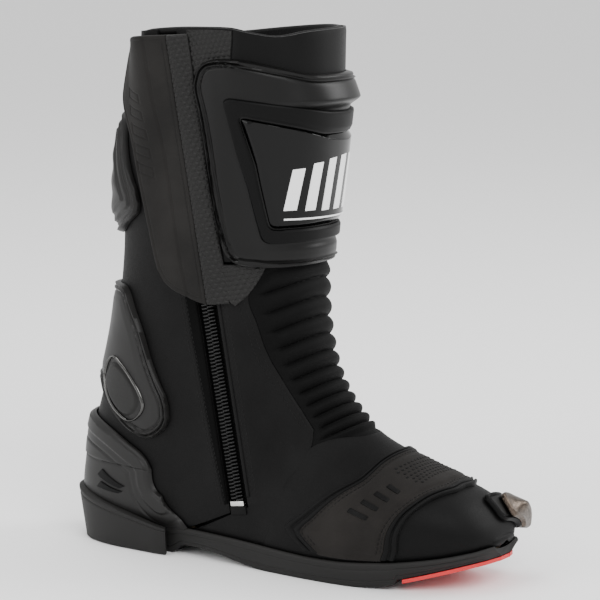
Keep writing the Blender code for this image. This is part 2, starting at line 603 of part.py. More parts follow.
cup_angles = np.array([100, 103, 107, 112, 118, 125, 132, 138, 144, 150, 156, 163, 171, 180])
cup_angles = np.concatenate([cup_angles, 360 - cup_angles[-2::-1]])
from_back = np.minimum(cup_angles, 360 - cup_angles)
cup_top = np.interp(from_back, (98, 102, 112, 125, 150, 180), (6.68, 6.35, 5.98, 5.68, 5.45, 5.40))
cup_front = np.interp(from_back, (98, 106, 118, 133), (6.98, 7.33, 7.70, 7.98))
cup_bottom = np.minimum(cup_front, feather_station(from_back) - 0.10)
sheet("heel_cup", *columns_between(cup_angles, cup_top, cup_bottom, 15), 2 * FIT_GAP, HEEL_CUP, "moulded")

# ---- armour on the foot ----------------------------------------------------------------
pad_angles = np.array([0, 10, 20, 30, 38, 46, 57, 67, 78, 88, 98, 108, 117])
pad_top = np.interp(pad_angles, (0, 10, 25, 37, 42, 57, 78, 90, 122),
                    (8.02, 8.03, 8.15, 8.35, 8.44, 8.46, 8.58, 8.63, 9.15))
pad_front = np.interp(pad_angles, (0, 15, 22, 35, 47, 58, 72, 95, 122),
                      (10.25, 10.28, 10.2, 10.05, 9.95, 9.87, 9.9, 10.05, 10.08))
angles = np.concatenate([-pad_angles[:0:-1], pad_angles])
pad_ends = [np.concatenate([end[:0:-1], end]) for end in (pad_top, pad_front)]
sheet("shift_pad", *columns_between(angles, *pad_ends, 8), ON_LEATHER, SHIFT_PAD, "suede")

BRACKET = 0.0020
SLIDER_BLOCK = 0.0030
on_toe = 2 * FIT_GAP
bracket_top = [(0, 11.05), (50, 11.02), (60, 11.2)]
bracket_bottom = [(0, 12.35), (46, 12.3), (60, 11.9)]
shield("slider_bracket", 60, bracket_top, bracket_bottom, on_toe, BRACKET, "moulded", 7, -28)
block_top = [(0, 11.22), (28, 11.22), (34, 11.4)]
block_bottom = [(0, 12.25), (26, 12.2), (34, 12.0)]
on_bracket = on_toe + BRACKET + 2 * FIT_GAP
shield("toe_slider", 34, block_top, block_bottom, on_bracket, SLIDER_BLOCK, "steel", 5, -54)


def along_normal(t, a, lift):
    """A point over the surface and the direction out of the boot there."""
    point, above = lifted(np.array(t), np.array(a), lift), lifted(np.array(t), np.array(a), lift + 0.01)
    return Vector(point), Vector(unit(above - point))


def disc(name, radius, height, sides, place, direction, kind):
    """A round head standing on a point along a direction."""
    mesh = bpy.data.meshes.new(name)
    shape = bmesh.new()
    bmesh.ops.create_cone(shape, cap_ends=True, segments=sides, radius1=radius, radius2=radius * 0.85,
                          depth=height)
    shape.to_mesh(mesh)
    shape.free()
    piece = add_object(name, mesh, kind)
    piece.rotation_mode = "QUATERNION"
    piece.rotation_quaternion = direction.to_track_quat("Z", "Y")
    piece.location = place + direction * (height / 2)
    return piece


on_slider = on_bracket + SLIDER_BLOCK + FIT_GAP
for index, a in enumerate((-40, -64)):
    spot, out = along_normal(11.75, a, on_slider)
    disc("slider_screw_%d" % (index + 1), 0.0032, 0.0016, 12, spot, out, "nickel")

# ---- the zip: straight, in its own plane -------------------------------------------------
ZIP_TURN = Matrix((ZIP_UP, ZIP_ACROSS, ZIP_OUT)).transposed().to_quaternion()
COIL_BASE = -0.0014           # underside of the teeth, measured out from the zip's plane
TAPE_BASE = COIL_BASE - FIT_GAP - ZIP_TAPE


def zip_block(name, across, along, height, kind, bevel=0.0):
    """A rounded block in the zip's frame: (low, high) across, along and in height."""
    size = [along[1] - along[0], across[1] - across[0], height[1] - height[0]]
    mesh = bpy.data.meshes.new(name)
    shape = bmesh.new()
    bmesh.ops.create_cube(shape, size=1, matrix=Matrix.Diagonal((*size, 1)))
    shape.to_mesh(mesh)
    shape.free()
    piece = add_object(name, mesh, kind)
    piece.rotation_mode = "QUATERNION"
    piece.rotation_quaternion = ZIP_TURN
    middle = [sum(pair) / 2 for pair in (across, along, height)]
    piece.location = Vector(ZIP_START + ZIP_ACROSS * middle[0] + ZIP_UP * middle[1] + ZIP_OUT * middle[2])
    if bevel:
        edge = piece.modifiers.new("edges", "BEVEL")
        edge.width = bevel
        edge.segments = 2
    return piece


half_slot = ZIP_SLOT / 2
TAPE_MARGIN = 0.0014          # between the tape and the leather's edge
GUSSET_OVERLAP = 0.0025       # the gusset reaches this far behind the leather
STOP = 0.0035
ends = (-STOP + 0.001, ZIP_LENGTH + STOP)
teeth_ends = (0.0003, ZIP_LENGTH - 0.0003)
tape_height = (TAPE_BASE, TAPE_BASE + ZIP_TAPE)
zip_block("zip_tape_front", (-half_slot + TAPE_MARGIN, -FIT_GAP / 2), ends, tape_height, "stretch")
zip_block("zip_tape_rear", (FIT_GAP / 2, half_slot - TAPE_MARGIN), ends, tape_height, "stretch")
teeth_height = (COIL_BASE, COIL_BASE + TEETH_HEIGHT)
zip_block("zip_teeth_front", (-TEETH_WIDTH, -FIT_GAP / 2), teeth_ends, teeth_height, "zip", 0.0005)
zip_block("zip_teeth_rear", (FIT_GAP / 2, TEETH_WIDTH), teeth_ends, teeth_height, "zip", 0.0005)
zip_block("zip_bottom_stop", (-0.0052, 0.0052), (-STOP, 0), (COIL_BASE, COIL_BASE + TEETH_HEIGHT + 0.0003),
          "nickel", 0.0004)
zip_block("zip_top_stop", (-0.0052, 0.0052), (ZIP_LENGTH, ZIP_LENGTH + STOP),
          (COIL_BASE, COIL_BASE + TEETH_HEIGHT + 0.0003), "nickel", 0.0004)
gusset_edge = half_slot + GUSSET_OVERLAP
zip_block("zip_gusset", (-gusset_edge, gusset_edge), (-0.002, ZIP_LENGTH + 0.006),
          (-LEATHER - 2 * FIT_GAP - 0.0012, -LEATHER - 2 * FIT_GAP), "leather")

slider_base = COIL_BASE + TEETH_HEIGHT + FIT_GAP
SLIDER_PLATE = 0.0012
slider_top = slider_base + SLIDER_PLATE
zip_block("zip_slider", (-SLIDER_WIDTH / 2, SLIDER_WIDTH / 2),
          (ZIP_LENGTH - SLIDER_LENGTH - 0.0005, ZIP_LENGTH - 0.0005), (slider_base, slider_top), "nickel", 0.0004)
pull_top_end = ZIP_LENGTH - 0.004
pull_base = slider_top + FIT_GAP
zip_block("zip_pull", (-0.0035, 0.0035), (pull_top_end - PULL_LENGTH, pull_top_end),
          (pull_base, pull_base + PULL_THICKNESS), "nickel", 0.0004)
pull_face = pull_base + PULL_THICKNESS

# ---- the calf flap: hangs on its front edge and closes over the zip ------------------------
flap_lift = pull_face + FLAP_CLEARANCE
PAD_LIFT = 2 * FIT_GAP
REAR_LIFT = PAD_LIFT + 2 * HOOK + 2 * FIT_GAP


def flap_rear(t):
    """Free edge of the flap."""
    return np.interp(t, (-0.05, 0.85, 1.25, 1.5, 2.0, 2.5, 3.0, 3.3, 3.5),
                     (141, 141, 128, 121, 113, 108, 103, 99, 91))


def flap_height(t, across):
    """How far the flap's inner face stands off the leather: clear of the pull over
    the zip, and down on the hook-and-loop pads behind it."""
    return REAR_LIFT + (flap_lift - REAR_LIFT) * (1 - smooth(np.abs(across), 0.012, 0.030)) + 0 * t


def over_zip(t, a):
    """Distance behind the zip's centre line of points on the surface."""
    return (surface(t, a) - ZIP_START) @ ZIP_ACROSS


stations = np.array([-0.04, 0.3, 0.6, 0.85, 1.1, 1.4, 1.7, 2, 2.3, 2.6, 2.9, 3.15, 3.35, 3.52, 3.64])
rear = np.maximum(flap_rear(stations), zip_side(stations, 0.006))
t, a = rows_between(stations, zip_side(stations, -STRIP_REAR), rear, 10)
height = flap_height(t, over_zip(t, a))
sheet("calf_flap", t, a, height, FLAP, "leather")
strip_stations = np.array([-0.04, 0.5, 1, 1.5, 2, 2.5, 3, 3.35, 3.64])
front = zip_side(strip_stations, -HINGE_FROM_ZIP)
t, a = rows_between(strip_stations, front, zip_side(strip_stations, -STRIP_REAR - FIT_GAP), 4)
strip_height = flap_height(t, over_zip(t, a))
strip = sheet("flap_stretch_strip", t, a, strip_height, FLAP, "stretch")
hinge_points = lifted(t[:, 0], a[:, 0], strip_height[:, 0] + FLAP)
HINGE_HEIGHT = ((hinge_points - ZIP_START) @ ZIP_OUT).max()
HINGE_PLACE = ZIP_START - ZIP_ACROSS * HINGE_FROM_ZIP + ZIP_OUT * HINGE_HEIGHT
tail_angles = np.array([47, 52, 57, 62])
t, a = columns_between(tail_angles, [3.24, 3.22, 3.2, 3.2], [3.42, 3.62, 3.72, 3.7], 4)
sheet("strip_tail", t, a, ON_LEATHER, 0.0016, "leather")
pad_stations = np.array([0.3, 0.7, 1.1, 1.5, 1.9, 2.3, 2.7])
pad_rear = flap_rear(pad_stations) - 2
pad_width = 10
t, a = rows_between(pad_stations, pad_rear - pad_width, pad_rear, 4)
sheet("loop_pad", t, a, PAD_LIFT, HOOK, "lining")
sheet("hook_pad", t, a, PAD_LIFT + HOOK + FIT_GAP, HOOK, "lining")


# ---- what moves hangs on an empty that stands on its joint's axis --------------------------
def hang(place, names, empty_name):
    """An empty in the zip's directions, with the named pieces as its children."""
    empty = bpy.data.objects.new(empty_name, None)
    boot.objects.link(empty)
    turn = ZIP_TURN.to_matrix().to_4x4()
    empty.matrix_world = Matrix.Translation(Vector(place)) @ turn
    for name in names:
        piece = bpy.data.objects[name]
        piece.parent = empty
        piece.matrix_parent_inverse = (Matrix.Translation(Vector(place)) @ turn).inverted()


slider_middle = ZIP_START + ZIP_UP * (ZIP_LENGTH - SLIDER_LENGTH / 2) + ZIP_OUT * slider_base
pull_pivot = ZIP_START + ZIP_UP * pull_top_end + ZIP_OUT * (pull_base + PULL_THICKNESS / 2)
hang(HINGE_PLACE, ["calf_flap", "flap_stretch_strip", "hook_pad"], "flap_hinge")
hang(slider_middle, ["zip_slider"], "zip_travel")
hang(pull_pivot, ["zip_pull"], "pull_pivot")
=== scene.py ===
import bmesh
import bpy
import numpy as np
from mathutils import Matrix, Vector


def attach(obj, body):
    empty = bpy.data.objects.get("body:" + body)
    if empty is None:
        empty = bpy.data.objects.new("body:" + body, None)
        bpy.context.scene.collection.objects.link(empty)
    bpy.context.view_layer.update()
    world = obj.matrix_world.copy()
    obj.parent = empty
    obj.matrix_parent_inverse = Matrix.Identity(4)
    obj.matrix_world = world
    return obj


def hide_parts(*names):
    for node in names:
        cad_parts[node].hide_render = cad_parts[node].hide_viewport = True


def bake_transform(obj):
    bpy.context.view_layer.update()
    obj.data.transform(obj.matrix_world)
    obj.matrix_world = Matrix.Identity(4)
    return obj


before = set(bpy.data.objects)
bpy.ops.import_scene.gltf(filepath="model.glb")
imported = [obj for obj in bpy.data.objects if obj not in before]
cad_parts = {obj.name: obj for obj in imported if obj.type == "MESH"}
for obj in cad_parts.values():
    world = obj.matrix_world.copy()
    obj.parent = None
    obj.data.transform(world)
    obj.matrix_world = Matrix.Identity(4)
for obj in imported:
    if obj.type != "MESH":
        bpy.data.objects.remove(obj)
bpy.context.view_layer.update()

# ---- The room: a pale floor, soft lamps and the camera -------------------------------------
# The boot stands on a wide, plain, pale floor under four large soft lamps, and is seen from
# the inner side and a little from the front.
CAMERA_TARGET = Vector((-0.0006, -0.0081, 0.168))
CAMERA_AWAY = 1.75
CAMERA_TURN, CAMERA_RISE = np.radians(33), np.radians(9)
LENS = 165.6


def looking_at(thing, place, target):
    """Puts a camera or lamp at a place with its -Z axis towards the target."""
    thing.location = place
    thing.rotation_euler = (Vector(target) - Vector(place)).to_track_quat("-Z", "Y").to_euler()


camera = bpy.data.objects.new("camera", bpy.data.cameras.new("camera"))
bpy.context.scene.collection.objects.link(camera)
camera.data.lens = LENS
camera.data.clip_start = 0.05
toward = Vector((-np.cos(CAMERA_TURN) * np.cos(CAMERA_RISE), -np.sin(CAMERA_TURN) * np.cos(CAMERA_RISE),
                 np.sin(CAMERA_RISE)))
looking_at(camera, CAMERA_TARGET + toward * CAMERA_AWAY, CAMERA_TARGET)
bpy.context.scene.camera = camera


def lamp(name, place, size, power, target=(0, 0, 0.15)):
    """A square soft lamp that points at the boot."""
    light = bpy.data.lights.new(name, "AREA")
    light.size = size
    light.energy = power
    holder = bpy.data.objects.new(name, light)
    bpy.context.scene.collection.objects.link(holder)
    looking_at(holder, place, target)


lamp("key_lamp", (-1.1, -1.5, 1.6), 1.2, 34)
lamp("fill_lamp", (-1.9, 0.9, 0.9), 1.4, 20)
lamp("rim_lamp", (1.3, -1.2, 1.1), 0.9, 22)
lamp("top_lamp", (0.1, 0.5, 2.0), 1.2, 16)
world = bpy.data.worlds.new("room")
bpy.context.scene.world = world
world.use_nodes = True
world.node_tree.nodes["Background"].inputs["Color"].default_value = (1, 1, 1, 1)
world.node_tree.nodes["Background"].inputs["Strength"].default_value = 1.15

FLOOR_HALF = 14.0
corners = [(-FLOOR_HALF, -FLOOR_HALF, 0), (FLOOR_HALF, -FLOOR_HALF, 0), (FLOOR_HALF, FLOOR_HALF, 0),
           (-FLOOR_HALF, FLOOR_HALF, 0)]
floor_mesh = bpy.data.meshes.new("floor")
floor_mesh.from_pydata(corners, [], [(0, 1, 2, 3)])
floor = bpy.data.objects.new("floor", floor_mesh)
bpy.context.scene.collection.objects.link(floor)
floor_finish = bpy.data.materials.new("pale_floor")
floor_finish.use_nodes = True
floor_finish.node_tree.nodes["Principled BSDF"].inputs["Base Color"].default_value = (0.93, 0.93, 0.93, 1)
floor_finish.node_tree.nodes["Principled BSDF"].inputs["Roughness"].default_value = 0.9
floor_mesh.materials.append(floor_finish)

# ---- Leather upper -------------------------------------------------------------------------
# The leather panels are cut from 2 mm black cowhide and sewn on the last into one smooth
# shape.  Every other piece lies on that shape, so it is worked out here once: station t
# runs from the rim (0) to the toe end (13) and angle a goes round, 0 in front, 90 inside.
LEATHER = 0.0020
BOX_CENTRE = np.array([0.0006, -0.0009])
# front y, z; back y, z; widest share; inner, outer half width; front, back roundness; shift
STATIONS = np.array([
    (-0.032, 0.338, 0.099, 0.333, 0.50, 0.0560, 0.058, 2.2, 2.2, 0.000),
    (-0.031, 0.295, 0.109, 0.291, 0.50, 0.0555, 0.058, 2.2, 2.2, 0.000),
    (-0.025, 0.245, 0.116, 0.243, 0.50, 0.0530, 0.056, 2.2, 2.2, 0.000),
    (-0.021, 0.200, 0.118, 0.195, 0.50, 0.0495, 0.052, 2.2, 2.2, 0.000),
    (-0.023, 0.160, 0.125, 0.147, 0.52, 0.0475, 0.048, 2.2, 2.2, 0.000),
    (-0.032, 0.127, 0.137, 0.103, 0.55, 0.0455, 0.044, 2.2, 2.2, 0.000),
    (-0.047, 0.104, 0.149, 0.057, 0.55, 0.0425, 0.041, 2.2, 2.4, 0.000),
    (-0.066, 0.088, 0.140, 0.017, 0.60, 0.0405, 0.041, 2.2, 3.0, 0.000),
    (-0.086, 0.078, 0.060, 0.013, 0.62, 0.0420, 0.043, 2.2, 3.5, 0.000),
    (-0.103, 0.070, -0.040, 0.009, 0.66, 0.0480, 0.046, 2.3, 4.0, 0.000),
    (-0.119, 0.064, -0.088, 0.011, 0.66, 0.0460, 0.045, 2.3, 4.0, 0.002),
    (-0.137, 0.055, -0.122, 0.015, 0.62, 0.0380, 0.038, 2.3, 3.2, 0.006),
    (-0.148, 0.043, -0.142, 0.020, 0.55, 0.0270, 0.027, 2.2, 2.4, 0.009),
    (-0.153, 0.033, -0.152, 0.026, 0.50, 0.0130, 0.013, 2.0, 2.0, 0.010),
])
LAST = len(STATIONS) - 1
ZIP_START = np.array([-0.042577, 0.011801, 0.043407])
ZIP_UP = np.array([-0.050397, 0.142962, 0.988444])
ZIP_ACROSS = np.array([0.039269, 0.989220, -0.141072])
ZIP_OUT = np.array([-0.997957, 0.031706, -0.055468])
ZIP_LENGTH = 0.277221
ZIP_SLOT = 0.0150


def smooth(value, low, high):
    """Soft step: 0 below low, 1 above high, and 3s^2 - 2s^3 of the share s between."""
    share = np.clip((value - low) / (high - low), 0, 1)
    return share * share * (3 - 2 * share)


def unit(vector):
    return vector / np.maximum(np.linalg.norm(vector, axis=-1, keepdims=True), 1e-12)


def surface(t, a):
    """The upper's outer face.  A station's outline is a superellipse with its own front and
    back halves, |cos|^n + |sin|^n = 1, on rows that a Catmull-Rom curve carries from station
    to station.  Beside the zip the face is pressed into the zip's own plane."""
    t, a = np.broadcast_arrays(np.asarray(t, float), np.asarray(a, float))
    clipped = np.clip(t, 0, LAST)
    i = np.minimum(clipped.astype(int), LAST - 1)
    u = (clipped - i)[..., None]
    rows = np.vstack([2 * STATIONS[0] - STATIONS[1], STATIONS, 2 * STATIONS[-1] - STATIONS[-2]])
    p0, p1, p2, p3 = rows[i], rows[i + 1], rows[i + 2], rows[i + 3]
    row = 0.5 * (2 * p1 + (p2 - p0) * u + (2 * p0 - 5 * p1 + 4 * p2 - p3) * u**2
                 + (3 * p1 - p0 - 3 * p2 + p3) * u**3)
    fy, fz, by, bz, belly, inner, outer, front_power, back_power, shift = np.moveaxis(row, -1, 0)
    cy, cz = fy + (by - fy) * belly, fz + (bz - fz) * belly
    cos, sin = np.cos(np.radians(a)), np.sin(np.radians(a))
    power = np.where(cos >= 0, front_power, back_power)
    scale = (np.abs(cos)**power + np.abs(sin)**power)**(-1 / power)
    cos, sin = cos * scale, sin * scale
    x = shift - np.where(sin >= 0, inner, outer) * sin - BOX_CENTRE[0]
    y = cy + np.where(cos >= 0, fy - cy, by - cy) * np.abs(cos) - BOX_CENTRE[1]
    z = cz + np.where(cos >= 0, fz - cz, bz - cz) * np.abs(cos)
    point = np.stack([x, y, z + np.maximum(-t, 0) * (STATIONS[0, 1] - STATIONS[1, 1])], -1)
    from_start = point - ZIP_START
    along, across, height = (from_start @ axis for axis in (ZIP_UP, ZIP_ACROSS, ZIP_OUT))
    near = 1 - smooth(np.abs(across), ZIP_SLOT * 0.75, ZIP_SLOT * 2.4)
    near = near * smooth(along, -0.035, -0.004) * (height > -0.030)
    return point - ZIP_OUT * (height * near)[..., None]


def lifted(t, a, lift):
    """surface(t, a) moved out by lift along the cross product of its two tangents."""
    t, a = np.broadcast_arrays(np.asarray(t, float), np.asarray(a, float))
    here = np.maximum(t, 0.021)
    down = surface(here + 0.02, a) - surface(here - 0.02, a)
    around = surface(here, a + 1) - surface(here, a - 1)
    normal = unit(np.cross(around, down))
    return surface(t, a) + normal * np.broadcast_to(lift, t.shape)[..., None]


def through(*points):
    """A smooth function through (x, y) points: cubic pieces whose slope at a point is the
    mean of the slopes beside it, and never steeper than three times the smaller one."""
    x, y = np.array(points, float).T
    slopes = np.diff(y) / np.diff(x)
    steep = np.concatenate([[slopes[0]], (slopes[1:] + slopes[:-1]) / 2, [slopes[-1]]])
    before, after = np.concatenate([slopes[:1], slopes]), np.concatenate([slopes, slopes[-1:]])
    least = 3 * np.minimum(np.abs(before), np.abs(after))
    steep = np.clip(steep, -least, least)

    def value(at):
        at = np.clip(at, x[0], x[-1])
        k = np.clip(np.searchsorted(x, at, side="right") - 1, 0, len(x) - 2)
        width = x[k + 1] - x[k]
        s = (at - x[k]) / width
        return ((1 + 2 * s) * (1 - s)**2 * y[k] + s * (1 - s)**2 * width * steep[k]
                + s * s * (3 - 2 * s) * y[k + 1] + s * s * (s - 1) * width * steep[k + 1])
    return value


def zip_side(t, distance):
    """Angle at a distance behind the zip's centre line, found at each station by halving."""
    t = np.asarray(t, float)
    low, high = np.full(t.shape, 35.0), np.full(t.shape, 135.0)
    for _ in range(30):
        middle = (low + high) / 2
        behind_it = (surface(t, middle) - ZIP_START) @ ZIP_ACROSS > distance
        low, high = np.where(behind_it, low, middle), np.where(behind_it, middle, high)
    return (low + high) / 2


feather = through((6.93, 180), (7.0, 159), (7.1, 150), (7.25, 143), (7.5, 136), (8, 129), (9, 124), (10, 121),
                  (11, 118), (12, 113), (13, 108))
instep_edge = through((3.1, 44), (3.25, 46), (3.6, 49), (4.0, 45.5), (4.5, 42.5), (5.2, 38), (5.75, 36), (6.4, 35.5))
vamp_seam = through((6.4, 35.5), (6.9, 42), (7.25, 49), (7.7, 63), (8.2, 80), (8.45, 100), (8.6, 125), (8.75, 150))
rim_station = through((-200, 0.05), (-180, 0.06), (-140, 0.04), (-60, -0.06), (-20, -0.05), (20, -0.03), (42, 0.02),
                      (56, -0.04), (70, -0.12), (100, -0.14), (140, -0.08), (180, 0.06), (200, 0.05))


def wrap(a):
    return (a + 180) % 360 - 180


def edge_distance(points, *open_sides):
    """Distance of every point of a grid to the nearest point of the grid's border; sides
    named open (top, bottom, left, right) don't count."""
    borders = {"top": points[0], "bottom": points[-1], "left": points[:, 0], "right": points[:, -1]}
    border = np.concatenate([line for side, line in borders.items() if side not in open_sides])
    flat = points.reshape(-1, 3)
    nearest = np.full(len(flat), 1e9)
    for start in range(0, len(border), 64):
        gap = flat[:, None, :] - border[None, start:start + 64]
        nearest = np.minimum(nearest, (gap**2).sum(-1).min(1))
    return np.sqrt(nearest).reshape(points.shape[:2])


def finished(name, points, faces, finish, sharp=50, body="boot", cad_node=None, mend=None):
    """The piece itself: points and faces with a finish, shaded smooth but for edges sharper
    than an angle, riding on a body.  mend turns faces outwards or merges doubled points."""
    mesh = bpy.data.meshes.new(name)
    mesh.from_pydata(points.reshape(-1, 3).tolist(), [], faces)
    if mend:
        shape = bmesh.new()
        shape.from_mesh(mesh)
        if mend == "merge":
            bmesh.ops.remove_doubles(shape, verts=shape.verts, dist=1e-7)
        else:
            bmesh.ops.recalc_face_normals(shape, faces=shape.faces)
        shape.to_mesh(mesh)
        shape.free()
    return placed(name, mesh, finish, sharp, body, cad_node)


def placed(name, mesh, finish, sharp, body, cad_node):
    """A mesh shaded, finished and put in the scene, on its body, for its CAD node."""
    mesh.shade_smooth()
    if sharp:
        mesh.set_sharp_from_angle(angle=np.radians(sharp))
    mesh.materials.append(finish)
    piece = bpy.data.objects.new(name, mesh)
    bpy.context.scene.collection.objects.link(piece)
    if body:
        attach(piece, body)
    if cad_node:
        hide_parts(cad_node)
    return piece


def quarter_round(distance, radius):
    """Share of the full height at a distance from a rounded edge: sqrt(1 - (1 - d / r)^2)."""
    return np.sqrt(1 - (1 - np.clip(distance / radius, 0, 1))**2)


def bell(value, centre, width):
    """The bell curve exp(-((value - centre) / width)^2)."""
    return np.exp(-((value - centre) / width)**2)


def closed_shell(name, outer, inner, finish, body="boot", cad_node=None):
    """A solid between two grids of points of the same shape: the outer one as it is, the
    inner one turned over, and a strip of quads along the four borders."""
    rows, columns = outer.shape[:2]
    index = np.arange(rows * columns).reshape(rows, columns)
    quads = np.stack([index[:-1, :-1], index[:-1, 1:], index[1:, 1:], index[1:, :-1]], -1).reshape(-1, 4)
    ring = np.concatenate([index[0, :-1], index[:-1, -1], index[-1, :0:-1], index[:0:-1, 0]])
    count = rows * columns
    strip = np.stack([np.roll(ring, -1), ring, ring + count, np.roll(ring, -1) + count], -1)
    faces = np.concatenate([quads, quads[:, ::-1] + count, strip])
    points = np.concatenate([outer.reshape(-1, 3), inner.reshape(-1, 3)])
    return finished(name, points, faces.tolist(), finish, 50, body, cad_node)


def between(low, high, count):
    """Grid whose rows run evenly from the low to the high value of each row."""
    share = np.linspace(0, 1, count)
    return low[:, None] + (high - low)[:, None] * share


def strip_grid(stations, low, high, columns):
    """Stations down the rows, and angles from low to high along them."""
    return np.repeat(stations[:, None], columns, 1), between(low, high, columns)


def ring_grid(angles, low, high, rows):
    """Angles along the rows, and stations from low to high down them."""
    share = np.linspace(0, 1, rows)[:, None]
    return low + (high - low) * share, np.repeat(angles[None], rows, 0)


def dense(stations, step=0.06):
    """Stations with more put between them, so that none lie further apart than the step."""
    parts = [np.linspace(p, q, max(2, int(np.ceil((q - p) / step)) + 1))[:-1] for p, q in zip(stations, stations[1:])]
    return np.concatenate(parts + [[stations[-1]]])


def start_finish(name, color, roughness, metallic=0.0):
    """A material with one Principled shader, its Object coordinates, and a shortcut that
    adds a node and joins its first inputs."""
    finish = bpy.data.materials.new(name)
    finish.use_nodes = True
    tree = finish.node_tree
    shader = tree.nodes["Principled BSDF"]
    shader.inputs["Base Color"].default_value = (*color, 1)
    shader.inputs["Roughness"].default_value = roughness
    shader.inputs["Metallic"].default_value = metallic
    place = tree.nodes.new("ShaderNodeTexCoord").outputs["Object"]

    def add(kind, joined=None, **values):
        node = tree.nodes.new("ShaderNode" + kind)
        for key, value in values.items():
            if key in node.inputs:
                node.inputs[key].default_value = value
            else:
                setattr(node, key, value)
        for key, output in (joined or {}).items():
            tree.links.new(output, node.inputs[key])
        return node
    return finish, tree, shader, place, add


def tint(add, source, low, high, dark, light):
    """Colour ramp from dark to light as the source goes from low to high."""
    ramp = add("ValToRGB", {"Fac": source})
    ramp.color_ramp.elements[0].position, ramp.color_ramp.elements[1].position = low, high
    ramp.color_ramp.elements[0].color, ramp.color_ramp.elements[1].color = (*dark, 1), (*light, 1)
    return ramp.outputs["Color"]


def leather(name, color, roughness, grain=1300.0, depth=0.00012, sheen=0.01, cloud=0.35, shine=0.10):
    """Leather: pebbles from a Voronoi cell pattern and fine pores from noise as bump, slow
    clouds of lighter and darker colour, and roughness that follows the pebbles."""
    finish, tree, shader, place, add = start_finish(name, color, roughness)
    pebbles = add("TexVoronoi", {"Vector": place}, Scale=grain, feature="SMOOTH_F1", Smoothness=0.6)
    pores = add("TexNoise", {"Vector": place}, Scale=grain * 2.2, Detail=3.0, Roughness=0.6)
    clouds = add("TexNoise", {"Vector": place}, Scale=26.0, Detail=5.0, Roughness=0.62)
    creases = add("TexNoise", {"Vector": place}, Scale=180.0, Detail=4.0, Roughness=0.7, Distortion=0.8)
    color = np.array(color)
    tone = tint(add, clouds.outputs["Fac"], 0.3, 0.72, tuple(color * (1 - cloud)), tuple(color * (1 + cloud)))
    tree.links.new(tone, shader.inputs["Base Color"])
    limits = {"From Min": 0.0, "From Max": 0.6, "To Min": roughness - 0.07, "To Max": roughness + 0.12}
    rough = add("MapRange", {"Value": pebbles.outputs["Distance"]}, **limits)
    tree.links.new(rough.outputs["Result"], shader.inputs["Roughness"])
    wide = add("Bump", {"Height": creases.outputs["Fac"]}, Strength=0.25, Distance=depth * 2.2)
    coarse = add("Bump", {"Height": pebbles.outputs["Distance"], "Normal": wide.outputs["Normal"]}, Strength=0.6,
                 Distance=depth, invert=True)
    fine = add("Bump", {"Height": pores.outputs["Fac"], "Normal": coarse.outputs["Normal"]}, Strength=0.3,
               Distance=depth * 0.5)
    tree.links.new(fine.outputs["Normal"], shader.inputs["Normal"])
    shader.inputs["Sheen Weight"].default_value = sheen
    shader.inputs["Sheen Roughness"].default_value = 0.5
    shader.inputs["Specular IOR Level"].default_value = shine
    return finish


black_leather = leather("black_leather", (0.0030, 0.0029, 0.0029), 0.50)
SEAM = 0.12                  # degrees left where two panels meet
EDGE_TURN = 0.0009           # a cut edge is skived and turned over this far


def leather_panel(name, t, a, cad_node, finish=black_leather, gap=0.0):
    """A panel of the upper: its face drops by a seventh of its thickness over the turned
    edge, 1 - (1 - d / r)^2 of the distance d from the edge."""
    distance = edge_distance(surface(t, a))
    rounding = 1 - np.clip(1 - distance / EDGE_TURN, 0, 1)**2
    lift = -0.15 * LEATHER * (1 - rounding) - gap
    closed_shell(name, lifted(t, a, lift), lifted(t, a, -LEATHER - gap), finish, cad_node=cad_node)


def to_rim(t, a):
    """The grid with its first rows drawn up to the rim, which is highest on the inner side
    and dips beside the front."""
    share = np.clip(1 - t / 0.5, 0, 1)
    return t + share * rim_station(wrap(a)), a


stations = dense([0, 3.05])
t, a = strip_grid(stations, np.full(len(stations), -112 + SEAM), np.full(len(stations), 66 - SEAM), 90)
collar_leather = leather("collar_leather", (0.0024, 0.0024, 0.0024), 0.36, grain=1500, depth=0.00006, cloud=0.25)
leather_panel("shaft_front", *to_rim(t, a), "shaft_front_panel", collar_leather)


def side_edge(t, shaft_edge):
    """Front edge of a side panel: beside the shaft's front, then the pleats, then the vamp."""
    shaft = shaft_edge + (instep_edge(3.25) - shaft_edge) * smooth(t, 3.10, 3.24)
    return np.where(t < 3.25, shaft, np.where(t < 6.4, instep_edge(t), vamp_seam(t)))


stations = dense([0, 3.1, 3.17, 3.25, 6.4, 7.0, 7.95], 0.05)
foot_stations = dense([7.955, 8.03, 8.72], 0.015)
low = side_edge(np.concatenate([stations, foot_stations]), 66) + SEAM
high = zip_side(stations, -ZIP_SLOT / 2)
high = np.concatenate([high, np.interp(foot_stations, (7.95, 8.03), (high[-1], 150))])
stations = np.concatenate([stations, foot_stations])
t, a = strip_grid(stations, low, high, 44)
leather_panel("inner_front", *to_rim(t, a), "inner_front_panel")

stations = dense([0, 6.0, 7.0, 7.93], 0.05)
bottom = np.interp(stations, (6.95, 7.08), (180 - SEAM, 150))
t, a = strip_grid(stations, zip_side(stations, ZIP_SLOT / 2), bottom, 60)
leather_panel("inner_rear", *to_rim(t, a), "inner_rear_panel")

stations = dense([0, 3.1, 3.25, 6.4, 7.0, 8.2, 8.72], 0.05)
bottom = np.interp(stations, (6.95, 7.08), (180 - SEAM, 150))
t, a = strip_grid(stations, -bottom, -side_edge(stations, 112) - SEAM, 84)
leather_panel("outer_side", *to_rim(t, a), "outer_side_panel")

vamp_top = through((0, 7.03), (12, 7.02), (31, 6.84), (42, 6.93), (49, 7.25), (63, 7.7), (80, 8.2), (100, 8.45),
                   (125, 8.6), (150, 8.75))
angles = np.linspace(-150, 150, 151)
t, a = ring_grid(angles, vamp_top(np.abs(angles)) - 0.045, 9.99, 60)
leather_panel("vamp_panel", t, a, "vamp", gap=-0.0006)

